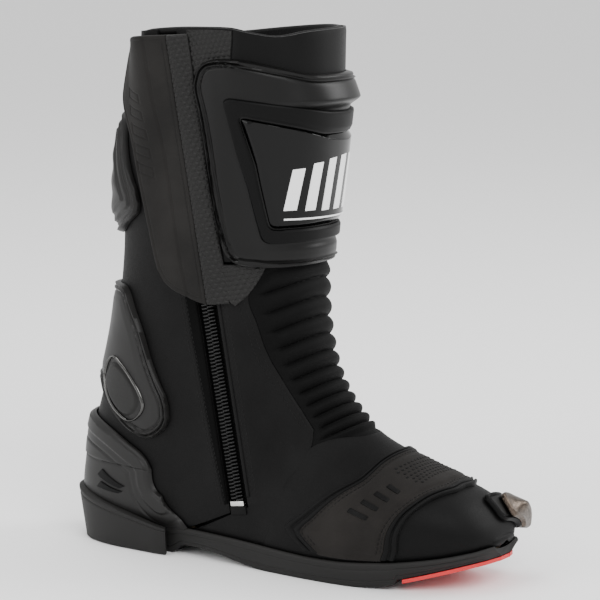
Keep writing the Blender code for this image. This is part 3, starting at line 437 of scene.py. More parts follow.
toe_leather = leather("toe_leather", (0.0018, 0.0018, 0.0018), 0.48, grain=1500, depth=0.00005, cloud=0.2, shine=0.10)
stations = np.concatenate([dense([10.01, 12.4], 0.05), np.array([12.5, 12.6, 12.7, 12.78, 12.86, 12.93, 12.97])])
t, a = np.repeat(stations[:, None], 121, 1), np.repeat(np.linspace(-150, 150, 121)[None], len(stations), 0)


def rounded_tip(face, reach):
    """The rows of a face carried past its last one, shrinking along a quarter circle."""
    row, tip = face[-1], (face[-1].max(0) + face[-1].min(0)) / 2
    more = [tip + (row - tip) * shrink - np.array([0, reach * (1 - shrink**2)**0.5, 0])
            for shrink in (0.9, 0.6, 0.02)]
    return np.concatenate([face, more])


toe = closed_shell("toe_cap_leather", rounded_tip(lifted(t, a, 0.0), 0.0024),
                   rounded_tip(lifted(t, a, -LEATHER), 0.0004),
                   toe_leather, cad_node="toe_cap")

# ---- Pleated front --------------------------------------------------------------------------
# A concertina of soft stretch leather over foam bends at the ankle: eleven rounded folds run
# across the front, each dipping a little in the middle and drawn in at the stitched sides.
pleat_leather = leather("pleat_leather", (0.0020, 0.0020, 0.0020), 0.60, grain=1700, depth=0.00006, cloud=0.3,
                        shine=0.07)
stations = np.linspace(3.09, 6.97, 260)
edge = instep_edge(np.clip(stations, 3.14, 6.4)) + np.interp(stations, (6.4, 6.9), (0, 6.5)) - SEAM
t, a = strip_grid(stations, -edge, edge, 96)
across = np.abs(a) / edge[:, None]
phase = (t + 0.22 * (1 - across**2) - 3.30) * 11 / 3.45
fold = np.abs(np.sin(np.pi * phase))**0.62
ends = smooth(t, 3.12, 3.42) * (1 - smooth(t, 6.62, 6.9)) * (1 - smooth(across, 0.80, 0.99))
lift = -0.0007 + (0.0040 * fold - 0.0008) * ends
pleats = closed_shell("pleats", lifted(t, a, lift), lifted(t, a, -LEATHER), pleat_leather,
                      cad_node="pleated_front")

# ---- Shin armour ------------------------------------------------------------------------------
# Injection-moulded plates over the shin: a satin plate with a double-ridged rim, a darker
# raised frame pressed into it, and a glossy bevelled insert with slanted white bars.
PLATE_MIDDLE = -18
ON_LEATHER = 0.0006


def moulded(name, color, roughness, shine=0.25, coat=0.0, grain=900.0, depth=0.00003):
    """Moulded plastic: one colour with faint slow clouds and a fine spark-eroded texture."""
    finish, tree, shader, place, add = start_finish(name, color, roughness)
    texture = add("TexNoise", {"Vector": place}, Scale=grain * 2.4, Detail=2.0, Roughness=0.5)
    clouds = add("TexNoise", {"Vector": place}, Scale=14.0, Detail=4.0, Roughness=0.6)
    limits = {"From Min": 0.3, "From Max": 0.7, "To Min": roughness - 0.04, "To Max": roughness + 0.06}
    rough = add("MapRange", {"Value": clouds.outputs["Fac"]}, **limits)
    tree.links.new(rough.outputs["Result"], shader.inputs["Roughness"])
    bump = add("Bump", {"Height": texture.outputs["Fac"]}, Strength=0.35, Distance=depth)
    tree.links.new(bump.outputs["Normal"], shader.inputs["Normal"])
    shader.inputs["Specular IOR Level"].default_value = shine
    shader.inputs["Coat Weight"].default_value = coat
    shader.inputs["Coat Roughness"].default_value = 0.12
    return finish


satin_plastic = moulded("satin_plastic", (0.0036, 0.0035, 0.0034), 0.36, shine=0.17)
dark_plastic = moulded("dark_plastic", (0.0016, 0.0016, 0.0016), 0.46, shine=0.10)
gloss_plastic = moulded("gloss_plastic", (0.0008, 0.0008, 0.0008), 0.13, shine=0.14, coat=0.06, depth=0.000004)
white_plastic = moulded("white_plastic", (0.80, 0.80, 0.80), 0.45, shine=0.30)


def wrap_columns(middle, reach, top, bottom, columns, rows):
    """Grid of a plate that is the same on both sides of its middle angle; top and bottom
    are functions of the angle from the middle."""
    half = reach * np.sin(np.linspace(-1, 1, columns) * np.pi / 2 * 0.94) / np.sin(np.pi / 2 * 0.94)
    t, _ = ring_grid(half, top(np.abs(half)), bottom(np.abs(half)), rows)
    return t, np.repeat(middle + half[None], rows, 0)


def plate_face(t, a, base, height, turn, ridges=(), extra=0.0, open_sides=()):
    """Outer face of a moulded plate: height times the quarter-round sqrt(1 - (1 - d/turn)^2)
    of the distance d from its edge, plus bell-shaped ridges (distance, width, height)."""
    distance = edge_distance(surface(t, a), *open_sides)
    share = np.clip(distance / turn, 0, 1)
    lift = base + height * (0.12 + 0.88 * np.sqrt(1 - (1 - share)**2)) + extra
    for at, width, tall in ridges:
        lift = lift + 1.7 * tall * bell(distance, at, width)
    return lifted(t, a, lift)


plate_top = through((0, 0.60), (20, 0.60), (38, 0.585), (58, 0.47), (78, 0.345), (88, 0.315), (94, 0.325), (98, 0.36),
                    (100.5, 0.43), (102, 0.52), (102.8, 0.66))
plate_bottom = through((0, 3.17), (38, 3.175), (58, 3.17), (66, 3.145), (72, 3.11), (76, 3.04), (79, 2.93), (82, 2.72),
                       (85, 2.42), (89, 1.98), (93, 1.55), (97.5, 1.15), (100.5, 0.92), (102, 0.80), (102.8, 0.70))
t, a = wrap_columns(PLATE_MIDDLE, 102.8, plate_top, plate_bottom, 250, 118)
front = np.exp(-((a - PLATE_MIDDLE) / 52)**4)
top_band = front * 0.0062 * np.clip((t - 0.62) / 0.33, 0, 1) * (1 - smooth(t, 0.94, 1.09))
low_band = front * 0.0012 * (smooth(t, 2.82, 2.92) - smooth(t, 3.06, 3.16))
ridges = ((0.0014, 0.00055, 0.00055), (0.0036, 0.0006, 0.0006), (0.0025, 0.0004, -0.0005), (0.0050, 0.0005, -0.0004))
face = plate_face(t, a, ON_LEATHER, 0.0036, 0.0016, ridges, top_band + low_band)
closed_shell("shin_armour", face, lifted(t, a, ON_LEATHER), satin_plastic, cad_node="shin_plate")

ON_PLATE = ON_LEATHER + 0.0036
STATION_ANGLE = 48.0         # one station spans about as far as this many degrees


def rounded(corners, radius, step=1.2):
    """Closed outline through (t, a) corners, each turned with the parabola
    (1-u)^2 P + 2u(1-u) Q + u^2 R, and the whole cut into even steps of its length."""
    scale = np.array([STATION_ANGLE, 1.0])
    points, outline = np.array(corners, float) * scale, []
    for before, corner, after in zip(np.roll(points, 1, 0), points, np.roll(points, -1, 0)):
        into, out_of = before - corner, after - corner
        reach = np.minimum(radius, np.minimum(np.linalg.norm(into), np.linalg.norm(out_of)) * 0.48)
        start, end = corner + unit(into) * reach, corner + unit(out_of) * reach
        u = np.linspace(0, 1, 9)[:, None]
        outline.append((1 - u)**2 * start + 2 * u * (1 - u) * corner + u * u * end)
    line = np.concatenate(outline + [outline[0][:1]])
    length = np.concatenate([[0], np.cumsum(np.linalg.norm(np.diff(line, axis=0), axis=1))])
    even = np.linspace(0, length[-1], int(length[-1] / step) + 1)[:-1]
    outline = np.stack([np.interp(even, length, line[:, k]) for k in (0, 1)], 1) / scale
    turn = np.sum(outline[:, 0] * np.roll(outline[:, 1], -1) - outline[:, 1] * np.roll(outline[:, 0], -1))
    return outline if turn < 0 else outline[::-1]


def inset(outline, distance):
    """The outline moved inwards by a distance in degrees, along its own normals."""
    scale = np.array([STATION_ANGLE, 1.0])
    points = outline * scale
    along = unit(np.roll(points, -2, 0) - np.roll(points, 2, 0))
    return (points + np.stack([-along[:, 1], along[:, 0]], -1) * distance) / scale


def band_shell(name, outer_line, inner_line, lift, base, finish, rows=14, filled=False, cad_node=None):
    """A closed ring between two outlines; lift(share, distance) is its outer face's height
    at the share across.  A filled one closes on its middle point instead."""
    share = np.linspace(0, 1, rows)[:, None, None]
    grid = outer_line * (1 - share) + inner_line * share
    t, a = grid[..., 0], grid[..., 1]
    skin = surface(t, a)
    from_edge = np.linalg.norm(skin - skin[:1], axis=-1)
    face = lifted(t, a, lift(share[..., 0] + 0 * t, from_edge))
    under = lifted(t, a, base)
    count = outer_line.shape[0]
    index = np.arange(rows * count).reshape(rows, count)
    after = np.roll(index, -1, 1)
    quads = np.stack([index[:-1], after[:-1], after[1:], index[1:]], -1).reshape(-1, 4)
    total = rows * count
    strips = [np.stack([after[0], index[0], index[0] + total, after[0] + total], -1)]
    if not filled:
        strips.append(np.stack([index[-1], after[-1], after[-1] + total, index[-1] + total], -1))
    faces = np.concatenate([quads, quads[:, ::-1] + total] + strips)
    points = np.concatenate([face.reshape(-1, 3), under.reshape(-1, 3)])
    return finished(name, points, faces.tolist(), finish, 50, "boot", cad_node, "merge" if filled else None)


def mirrored_sides(side):
    return side + [(t, 2 * PLATE_MIDDLE - a) for t, a in reversed(side)]


frame_side = [(0.86, 69), (1.5, 60.5), (2.0, 52.5), (2.5, 47.0), (2.80, 43.5)]
frame_corners = mirrored_sides(frame_side) + [(1.09, -45), (1.12, -18), (1.09, 9)]
hole_side = [(1.10, 60.5), (1.75, 49.5), (2.30, 43.5), (2.60, 40.2)]
hole_corners = mirrored_sides(hole_side) + [(1.36, -45), (1.38, -18), (1.36, 9)]


def even_outline(corners, radius, count):
    """The rounded outline cut into a given number of even steps, from its first corner."""
    line = rounded(corners, radius, 0.4)
    line = np.concatenate([line, line[:1]])
    length = np.concatenate([[0], np.cumsum(np.linalg.norm(np.diff(line * (STATION_ANGLE, 1), axis=0), axis=1))])
    even = np.linspace(0, length[-1], count + 1)[:-1]
    return np.stack([np.interp(even, length, line[:, k]) for k in (0, 1)], 1)


def matched(inner, outer):
    """The inner outline started at its point nearest to the outer one's first point."""
    scale = (STATION_ANGLE, 1)
    first = np.argmin(np.linalg.norm((inner - outer[0]) * scale, axis=1))
    return np.roll(inner, -first, 0)


def frame_lift(share, from_edge):
    """Height across the frame: up from its edge, level, and rounded into the hole."""
    rise = quarter_round(from_edge, 0.0018)
    return ON_PLATE + 0.0026 * (0.15 + 0.85 * rise) * (1 - 0.35 * smooth(share, 0.80, 1.0))


outer_line = even_outline(frame_corners, 6.0, 520)
inner_line = matched(even_outline(hole_corners, 5.0, 520), outer_line)
band_shell("shin_frame_ring", outer_line, inner_line, frame_lift, ON_PLATE - 0.0004, dark_plastic, rows=16,
           cad_node="shin_frame")

window = even_outline(mirrored_sides([(1.13, 59.5), (1.75, 48.7), (2.30, 42.7), (2.58, 39.5)])
                      + [(1.385, -45), (1.40, -18), (1.385, 9)], 4.0, 420)
middle_line = window.mean(0) + 0 * window


def insert_lift(share, from_edge):
    """Height of the glossy insert: a bevel 3 mm wide round a face with a soft crown."""
    return ON_PLATE + 0.0002 + 0.0026 * np.clip(from_edge / 0.0042, 0, 1) + 0.0004 * smooth(share, 0.1, 1.0)


band_shell("shin_insert_gloss", window, middle_line, insert_lift, ON_PLATE - 0.0002, gloss_plastic, rows=60,
                    filled=True, cad_node="shin_insert")


def raised_patch(name, corners, base, height, finish, rows=10, columns=16):
    """A thin raised mark: the patch between four (t, a) corners, rounded at its edge."""
    u, v = np.meshgrid(np.linspace(0, 1, columns), np.linspace(0, 1, rows))
    p = np.array(corners, float)
    grid = (p[0] * ((1 - u) * (1 - v))[..., None] + p[1] * (u * (1 - v))[..., None]
            + p[2] * (u * v)[..., None] + p[3] * ((1 - u) * v)[..., None])
    t, a = grid[..., 0], grid[..., 1]
    distance = edge_distance(surface(t, a))
    face = lifted(t, a, base + height * quarter_round(distance, 0.0003))
    return closed_shell(name, face, lifted(t, a, base - 0.0003), finish)


ON_INSERT = ON_PLATE + 0.0032
for number, (left, low, high) in enumerate(((30, 1.78, 2.32), (17, 1.72, 2.34), (4, 1.68, 2.36), (-9, 1.66, 2.37),
                                            (-22, 1.66, 2.38))):
    corners = [(low, left), (low - 0.01, left - 7.5), (high, left - 4.0), (high, left + 3.5)]
    raised_patch("insert_bar_%d" % (number + 1), corners, ON_INSERT, 0.0003, white_plastic)
raised_patch("insert_line", [(2.43, 33), (2.47, -40), (2.495, -40), (2.455, 33)], ON_INSERT, 0.0003, white_plastic,
             rows=5, columns=60)

# ---- Stitching ----------------------------------------------------------------------------------
# Panels are lockstitched in black bonded thread, eight stitches to 25 mm, a stitch being a
# short round-ended length of thread pressed into the leather.
thread = moulded("bonded_thread", (0.0045, 0.0044, 0.0043), 0.55, shine=0.14)


PITCH_OF_STITCHES, THREAD_RADIUS = 0.0030, 0.00028


def stitches(name, t, a, lift, body="boot"):
    """Six-sided capsules of 0.7 of the pitch, one a pitch along the line of (t, a) points:
    rings at four places along each, with radii 0.4, 1, 1 and 0.4."""
    line = lifted(np.asarray(t, float), np.asarray(a, float), lift)
    length = np.concatenate([[0], np.cumsum(np.linalg.norm(np.diff(line, axis=0), axis=1))])
    starts = np.arange(PITCH_OF_STITCHES / 2, length[-1] - PITCH_OF_STITCHES, PITCH_OF_STITCHES)
    ends = np.stack([starts, starts + PITCH_OF_STITCHES * 0.7], 1)
    place = np.stack([np.interp(ends, length, line[:, k]) for k in range(3)], -1)
    t_at, a_at = (np.interp(starts, length, np.asarray(value, float)) for value in (t, a))
    out = unit(lifted(t_at, a_at, 0.01) - lifted(t_at, a_at, 0.0))
    along = unit(place[:, 1] - place[:, 0])
    side = unit(np.cross(out, along))
    out = np.cross(along, side)
    turn = np.linspace(0, 2 * np.pi, 6, endpoint=False)
    shares, radii = np.array([0, 0.18, 0.82, 1.0]), np.array([0.4, 1, 1, 0.4]) * THREAD_RADIUS
    centre = place[:, :1] + (place[:, 1:] - place[:, :1]) * shares[None, :, None]
    circle = side[:, None, :] * np.cos(turn)[None, :, None] + out[:, None, :] * np.sin(turn)[None, :, None]
    points = centre[:, :, None, :] + circle[:, None] * radii[None, :, None, None]
    k, after = np.arange(6), (np.arange(6) + 1) % 6
    quad = np.stack([k, after, 6 + after, 6 + k], 1)
    sides = np.concatenate([quad + 6 * ring for ring in range(3)])
    caps = [tuple(range(5, -1, -1)), tuple(range(18, 24))]
    faces = []
    for number in range(len(starts)):
        base = 24 * number
        faces += (sides + base).tolist() + [tuple(base + i for i in cap) for cap in caps]
    return finished(name, points, faces, thread, None, body)


down = np.linspace(3.22, 6.35, 160)
for name, sign in (("inner", 1), ("outer", -1)):
    edge = instep_edge(down) if sign > 0 else -instep_edge(down)
    for row, off in enumerate((2.4, 4.8)):
        stitches("pleat_seam_%s_%d" % (name, row + 1), down, edge + sign * off, -0.00005)
vamp_line = np.linspace(16, 120, 120)
for name, sign in (("inner", 1), ("outer", -1)):
    for row, off in enumerate((0.055, 0.105)):
        stitches("vamp_seam_%s_%d" % (name, row + 1), vamp_top(vamp_line) + off, sign * vamp_line, -0.00005)
toe_line = np.linspace(-106, 106, 220)
stitches("toe_seam", np.full(220, 9.93), toe_line, -0.00005)

# ---- Zip ------------------------------------------------------------------------------------------
# A coarse coil zip sewn between the panels on woven tape, with nickel stops, a slider and its
# pull.  The teeth are bent wire: each is a short round bar across the tape with a turned head.
tape_cloth = leather("tape_cloth", (0.0018, 0.0018, 0.0018), 0.75, grain=2600, depth=0.00010, cloud=0.2, shine=0.05)
teeth_finish = moulded("zip_teeth", (0.0016, 0.0016, 0.0016), 0.30, shine=0.22, coat=0.08)
nickel = start_finish("polished_nickel", (0.62, 0.61, 0.59), 0.24, 1.0)[0]


def zip_point(along, across, height):
    return ZIP_START + along[..., None] * ZIP_UP + across[..., None] * ZIP_ACROSS + height[..., None] * ZIP_OUT


def zip_sheet(name, along, across, height, under, finish, cad_node):
    """A flat strip in the zip's own plane between two heights, its edges rolled."""
    u, v = np.meshgrid(along, across, indexing="ij")
    edge = np.minimum(np.minimum(u - along.min(), along.max() - u), np.minimum(v - across.min(), across.max() - v))
    top = height - (height - under) * 0.5 * (1 - np.clip(edge / 0.0005, 0, 1))**2
    closed_shell(name, zip_point(u, v, top + 0 * u)[::-1], zip_point(u, v, under + 0 * u)[::-1], finish,
                 cad_node=cad_node)


for name, low, high in (("front", -0.0064, -0.0003), ("rear", 0.0003, 0.0064)):
    zip_sheet("woven_tape_" + name, np.linspace(-0.0025, ZIP_LENGTH + 0.0035, 280), np.linspace(low, high, 14),
                     -0.0019, -0.0026, tape_cloth, cad_node="zip_tape_" + name)

PITCH = 0.0023


def teeth_row(name, side, offset, cad_node):
    """Teeth along one tape: bent bars with eight-sided sections swept along an arch that
    rises from the tape, runs across to the middle and turns down in a fatter head."""
    starts = np.arange(0.0008, ZIP_LENGTH - 0.0012, PITCH) + offset
    share = np.linspace(0, 1, 8)
    reach = side * np.array([0.0043, 0.0043, 0.0036, 0.0026, 0.0016, 0.0006, -0.0002, -0.0004])
    rise = np.array([-0.0014, -0.0002, 0.0005, 0.0006, 0.0006, 0.0005, 0.0000, -0.0010])
    thick = np.array([0.00062, 0.00066, 0.00068, 0.00066, 0.00066, 0.00074, 0.00076, 0.0006])
    slant = 0.0007 * side * (share - 0.5)
    turn = np.linspace(0, 2 * np.pi, 8, endpoint=False)
    bend = unit(np.stack([np.gradient(reach), np.gradient(rise)], 1))
    along = starts[:, None, None] + slant[None, :, None] + (thick[:, None] * np.cos(turn))[None]
    across = reach[None, :, None] - (thick[:, None] * np.sin(turn) * bend[:, 1:2])[None] * side + 0 * along
    height = rise[None, :, None] + (thick[:, None] * np.sin(turn) * bend[:, :1] * side)[None] + 0 * along
    points = zip_point(along, across, height).reshape(-1, 3)
    k, after = np.arange(8), (np.arange(8) + 1) % 8
    quad = np.stack([k, 8 + k, 8 + after, after], 1)
    sides = np.concatenate([quad + 8 * ring for ring in range(7)])
    caps = [tuple(range(8)), tuple(range(63, 55, -1))]
    faces = []
    for number in range(len(starts)):
        base = 64 * number
        faces += (sides + base).tolist() + [tuple(base + i for i in cap) for cap in caps]
    finished(name, points, faces, teeth_finish, None, "boot", cad_node, "turn")


teeth_row("coil_front", -1, 0.0, "zip_teeth_front")
teeth_row("coil_rear", 1, PITCH / 2, "zip_teeth_rear")


def zip_box(name, along, across, height, finish, body="boot", bevel=0.0004, cad_node=None):
    """A block in the zip's frame with rounded edges."""
    mesh = bpy.data.meshes.new(name)
    shape = bmesh.new()
    corners = [shape.verts.new(zip_point(np.array(x), np.array(y), np.array(z)))
               for x in along for y in across for z in height]
    for face in ((0, 1, 3, 2), (4, 6, 7, 5), (0, 4, 5, 1), (2, 3, 7, 6), (0, 2, 6, 4), (1, 5, 7, 3)):
        shape.faces.new([corners[i] for i in face])
    bmesh.ops.recalc_face_normals(shape, faces=shape.faces)
    bmesh.ops.bevel(shape, geom=shape.edges, offset=bevel, segments=3, profile=0.5, affect="EDGES")
    shape.to_mesh(mesh)
    shape.free()
    placed(name, mesh, finish, 40, body, cad_node)


zip_box("bottom_stop", (-0.0034, -0.0002), (-0.0052, 0.0052), (-0.0014, 0.0012), nickel, cad_node="zip_bottom_stop")
zip_box("top_stop", (ZIP_LENGTH + 0.0002, ZIP_LENGTH + 0.0034), (-0.0052, 0.0052), (-0.0014, 0.0012), nickel,
        cad_node="zip_top_stop")
slide_top = ZIP_LENGTH - 0.0005
zip_box("slider_plate", (slide_top - 0.013, slide_top), (-0.0055, 0.0055), (0.0014, 0.0026), nickel, "zip_slider",
        cad_node="zip_slider")
zip_box("slider_bridge", (slide_top - 0.0085, slide_top - 0.0045), (-0.0016, 0.0016), (0.0024, 0.0031), nickel,
        "zip_slider", 0.0003)
pull_top = ZIP_LENGTH - 0.004
zip_box("pull_tab", (pull_top - 0.020, pull_top), (-0.0035, 0.0035), (0.0032, 0.0046), nickel, "zip_slider",
        cad_node="zip_pull")
gusset_leather = leather("gusset_leather", (0.0035, 0.0035, 0.0036), 0.7, cloud=0.2, shine=0.08)
zip_sheet("gusset", np.linspace(-0.002, ZIP_LENGTH + 0.006, 120), np.linspace(-0.0100, 0.0100, 16), -0.0032,
                   -0.0044, gusset_leather, cad_node="zip_gusset")

# Stretch facings are sewn down along both sides of the zip, the rear one wider, and a tab of
# leather closes the slot's end.
wide = through((3.0, 0.0168), (4.0, 0.0166), (5.0, 0.0150), (6.0, 0.0138), (7.0, 0.0120), (7.75, 0.0108))


def facing(name, stations, near, far, finish):
    """A thin strip on the leather between two distances from the zip's centre line."""
    t, a = strip_grid(stations, zip_side(stations, near), zip_side(stations, far), 16)
    distance = edge_distance(surface(t, a))
    lift = 0.0002 + 0.0007 * (1 - (1 - np.clip(distance / 0.0008, 0, 1))**2)
    closed_shell(name, lifted(t, a, lift), lifted(t, a, 0.0001), finish)


stations = np.linspace(3.3, 7.72, 240)
facing("zip_facing_rear", stations, 0.0078, wide(stations), tape_cloth)
facing("zip_facing_front", stations, -0.0104, -0.0078, black_leather)
for number, off in enumerate((0.0014, 0.0034)):
    stitches("zip_seam_rear_%d" % (number + 1), stations, zip_side(stations, wide(stations) + off), -0.00005)
stitches("zip_seam_facing", stations, zip_side(stations, wide(stations) - 0.0014), 0.0008)
for number, off in enumerate((-0.0124, -0.0150)):
    stitches("zip_seam_front_%d" % (number + 1), stations, zip_side(stations, off), -0.00005)
zip_box("zip_end_tab", (-0.0090, -0.0037), (-0.0060, 0.0060), (-0.0012, 0.0010), black_leather)

# ---- Calf flap ------------------------------------------------------------------------------------
# A flap of thicker waxed leather, sewn on in front of the zip along a stretch strip embossed
# with six-sided cells, closes over the zip and sticks down on hook-and-loop tape.
HINGE_FROM_ZIP, STRIP_REAR, FLAP = 0.0175, 0.0056, 0.0026
FLAP_LIFT, REAR_LIFT = 0.0052, 0.0042
waxed_leather = leather("waxed_leather", (0.0105, 0.0098, 0.0092), 0.58, grain=1500, depth=0.00007, cloud=0.32,
                        shine=0.10)
cell_finish = leather("embossed_leather", (0.0075, 0.0072, 0.0069), 0.46, grain=2600, depth=0.00003, cloud=0.15,
                      shine=0.20)
flap_rear = through((-0.05, 141), (0.85, 140), (1.25, 128.5), (1.5, 121.5), (2.0, 113.5), (2.5, 108), (3.0, 103),
                    (3.3, 98.5), (3.6, 92))


def over_zip(t, a):
    return (surface(t, a) - ZIP_START) @ ZIP_ACROSS


def flap_height(t, a):
    """The flap's underside: over the pull in front, down on the closure tape behind."""
    return REAR_LIFT + (FLAP_LIFT - REAR_LIFT) * (1 - smooth(np.abs(over_zip(t, a)), 0.012, 0.030))


def cells(u, v, pitch):
    """Distance into a six-sided cell from its border, at points (u, v) in metres."""
    tall = pitch * 3**0.5
    nearest = np.zeros_like(u)
    for shift in (0.0, 0.5):
        x, y = np.mod(u / pitch + shift + 0.5, 1) - 0.5, np.mod(v / tall + shift + 0.5, 1) - 0.5
        x, y = np.abs(x) * pitch, np.abs(y) * tall
        nearest = np.maximum(nearest, pitch / 2 - np.maximum(x, x / 2 + y * 0.866))
    return nearest


def embossed(t, a):
    """Relief of the cells, 0.45 mm deep, worked out on flat measures along the zip."""
    from_start = surface(t, a) - ZIP_START
    depth = cells(from_start @ ZIP_ACROSS, from_start @ ZIP_UP, 0.0034)
    return 0.00055 * smooth(depth, 0.00020, 0.0008)


share = np.linspace(0, 1, 96)
flow = np.linspace(0, 1, 420)[:, None]
flap_end = through((0, 3.66), (0.25, 3.62), (0.6, 3.52), (0.85, 3.42), (0.95, 3.32), (1, 3.18))
flap_start = through((0, -0.06), (0.5, -0.05), (0.72, -0.01), (0.85, 0.06), (0.94, 0.16), (1, 0.32))
t = flap_start(share) + (flap_end(share) - flap_start(share)) * flow
front = zip_side(t, -STRIP_REAR + 0.0002)
rear = np.maximum(flap_rear(t), zip_side(t, 0.006))
a = front + (rear - front) * share
under = flap_height(t, a)
distance = edge_distance(surface(t, a))
seam_line = through((-0.1, 119), (0.5, 112), (1, 106), (1.5, 98.5), (2, 93), (2.5, 89.5), (3, 85.5), (3.5, 80))
from_line = (a - seam_line(t)) * 0.00085
from_marks = a - seam_line(t) - 14
mark_run, mark_side = np.mod((t - 0.75) / 0.24, 1) * 0.24 - 0.12 + from_marks * 0.006, from_marks * 0.00085
from_bar = np.maximum(np.abs(mark_run) * 0.043 - 0.0026, np.abs(mark_side) - 0.0042)
marks = 0.00045 * bell(from_bar, 0, 0.00045) * (t > 0.75) * (t < 1.95)
face = (under - marks + FLAP * (0.45 + 0.55 * quarter_round(distance, 0.0011))
        - 0.0005 * bell(from_line, 0, 0.0007) - 0.00035 * bell(distance, 0.0030, 0.0006)
        + 0.0003 * smooth(from_line, -0.0005, 0.0008))
closed_shell("leather_flap", lifted(t, a, face), lifted(t, a, under), waxed_leather, "calf_flap",
             "calf_flap")

stations = np.linspace(-0.06, 3.66, 460)
low, high = zip_side(stations, -HINGE_FROM_ZIP + 0.0001), zip_side(stations, -STRIP_REAR)
t, a = strip_grid(stations, low, high, 48)
slope = smooth(over_zip(t, a), -HINGE_FROM_ZIP, -0.0075)
under = 0.0007 + (flap_height(t, a) - 0.0007) * slope
distance = edge_distance(surface(t, a), "right")
face = (under + (0.0012 + (FLAP - 0.0017) * slope) * (0.3 + 0.7 * quarter_round(distance, 0.0012))
        + embossed(t, a) * smooth(distance, 0.0006, 0.0012))
strip = closed_shell("embossed_strip", lifted(t, a, face), lifted(t, a, under), cell_finish, None)
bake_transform(strip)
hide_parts("flap_stretch_strip")

stations = np.linspace(0.02, 3.12, 300)
low, high = np.full(300, 66.6), np.minimum(zip_side(stations, -HINGE_FROM_ZIP - 0.0006) + 6, 93)
keep = high > low + 0.6
stations, low, high = stations[keep], low[keep], high[keep]
t, a = strip_grid(stations, low, high, 56)
t, a = to_rim(t, a)
rise = 0.00005 + embossed(t, a)
closed_shell("embossed_facing", lifted(t, a, rise), lifted(t, a, -0.0001), cell_finish)

stations = np.linspace(0.02, 3.40, 220)
for number, off in enumerate((-1.6, 1.6)):
    stitches("flap_seam_%d" % (number + 1), stations, seam_line(stations) + off, FLAP_LIFT + FLAP - 0.0003,
             "calf_flap")
for number, off in enumerate((0.0018, 0.0040)):
    places = zip_side(stations, off - STRIP_REAR)
    stitches("flap_front_seam_%d" % (number + 1), stations, places, FLAP_LIFT + FLAP - 0.0002, "calf_flap")
stations = np.linspace(0.25, 3.1, 200)
stitches("flap_rear_seam", stations, flap_rear(stations) - 3.4, REAR_LIFT + FLAP - 0.0002, "calf_flap")

t, a = wrap_columns(55, 14, through((0, 3.08), (14, 3.08)), through((0, 3.70), (5, 3.56), (14, 3.14)), 110, 90)
closed_shell("strip_end_tab", plate_face(t, a, ON_LEATHER, 0.0014, 0.0010, (), embossed(t, a)),
                    lifted(t, a, ON_LEATHER), cell_finish, cad_node="strip_tail")

hook_cloth = leather("hook_cloth", (0.006, 0.006, 0.006), 0.95, grain=1900, depth=0.00030, cloud=0.2, shine=0.05)
stations = np.linspace(0.3, 2.7, 140)
for name, base, body in (("loop_pad", 0.0012, "boot"), ("hook_pad", 0.0027, "calf_flap")):
    high = np.interp(stations, np.linspace(0.3, 2.7, 7), flap_rear(np.linspace(0.3, 2.7, 7)) - 2)
    t, a = strip_grid(stations, high - 10, high, 20)
    closed_shell(name.replace("_", "_tape_"), lifted(t, a, base + 0.0009), lifted(t, a, base), hook_cloth, body,
                 name)

# ---- Calf plate and ankle brace --------------------------------------------------------------------
# Two more moulded plates guard the back: a stepped one at the calf, and a brace that wraps
# the ankle with a triple ridge round its edge and an oval badge in a bright rim on each side.
plate_plastic = moulded("plate_plastic", (0.0085, 0.0082, 0.0079), 0.44, shine=0.22)
calf_top = through((0, 1.13), (24, 1.15), (33, 1.22), (40, 1.44), (48, 1.75), (56, 2.02), (60, 2.16), (62, 2.30))
calf_bottom = through((0, 2.80), (30, 2.78), (42, 2.72), (50, 2.60), (58, 2.49), (61, 2.42), (62, 2.35))
t, a = wrap_columns(180, 62, calf_top, calf_bottom, 150, 90)
away = edge_distance(surface(t, a))
steps = 0.0020 * smooth(away, 0.0062, 0.0074) + 0.0012 * smooth(away, 0.0115, 0.0125)
waves = 0.0007 * np.sin((t - 1.2) * 9.0)**2 * smooth(away, 0.011, 0.016)
ridges = ((0.0016, 0.0006, 0.0004), (0.0040, 0.0006, -0.0004))
face = plate_face(t, a, ON_LEATHER, 0.0040, 0.0024, ridges, steps + waves)
closed_shell("calf_armour", face, lifted(t, a, ON_LEATHER), plate_plastic, cad_node="calf_plate")

brace_top = through((0, 3.48), (40, 3.46), (48, 3.47), (54, 3.56), (60, 3.76), (67.5, 4.04), (77.5, 4.55), (86, 5.03),
                    (89, 5.24), (90, 5.38))
brace_bottom = through((0, 4.90), (33, 4.95), (43, 5.1), (58, 5.45), (71, 5.80), (78, 5.93), (84, 5.88), (88, 5.76),
                       (90, 5.62))
t, a = wrap_columns(180, 90, brace_top, brace_bottom, 260, 84)
edge_ridges = ((0.0011, 0.0005, 0.0005), (0.0024, 0.0004, -0.0006), (0.0038, 0.0006, 0.0005),
               (0.0056, 0.0006, -0.0005))
inner_share = smooth(edge_distance(surface(t, a)), 0.006, 0.012)
face = plate_face(t, a, ON_LEATHER, 0.0034, 0.0014, edge_ridges, 0.0005 * inner_share)
closed_shell("ankle_armour", face, lifted(t, a, ON_LEATHER), plate_plastic, cad_node="ankle_brace")

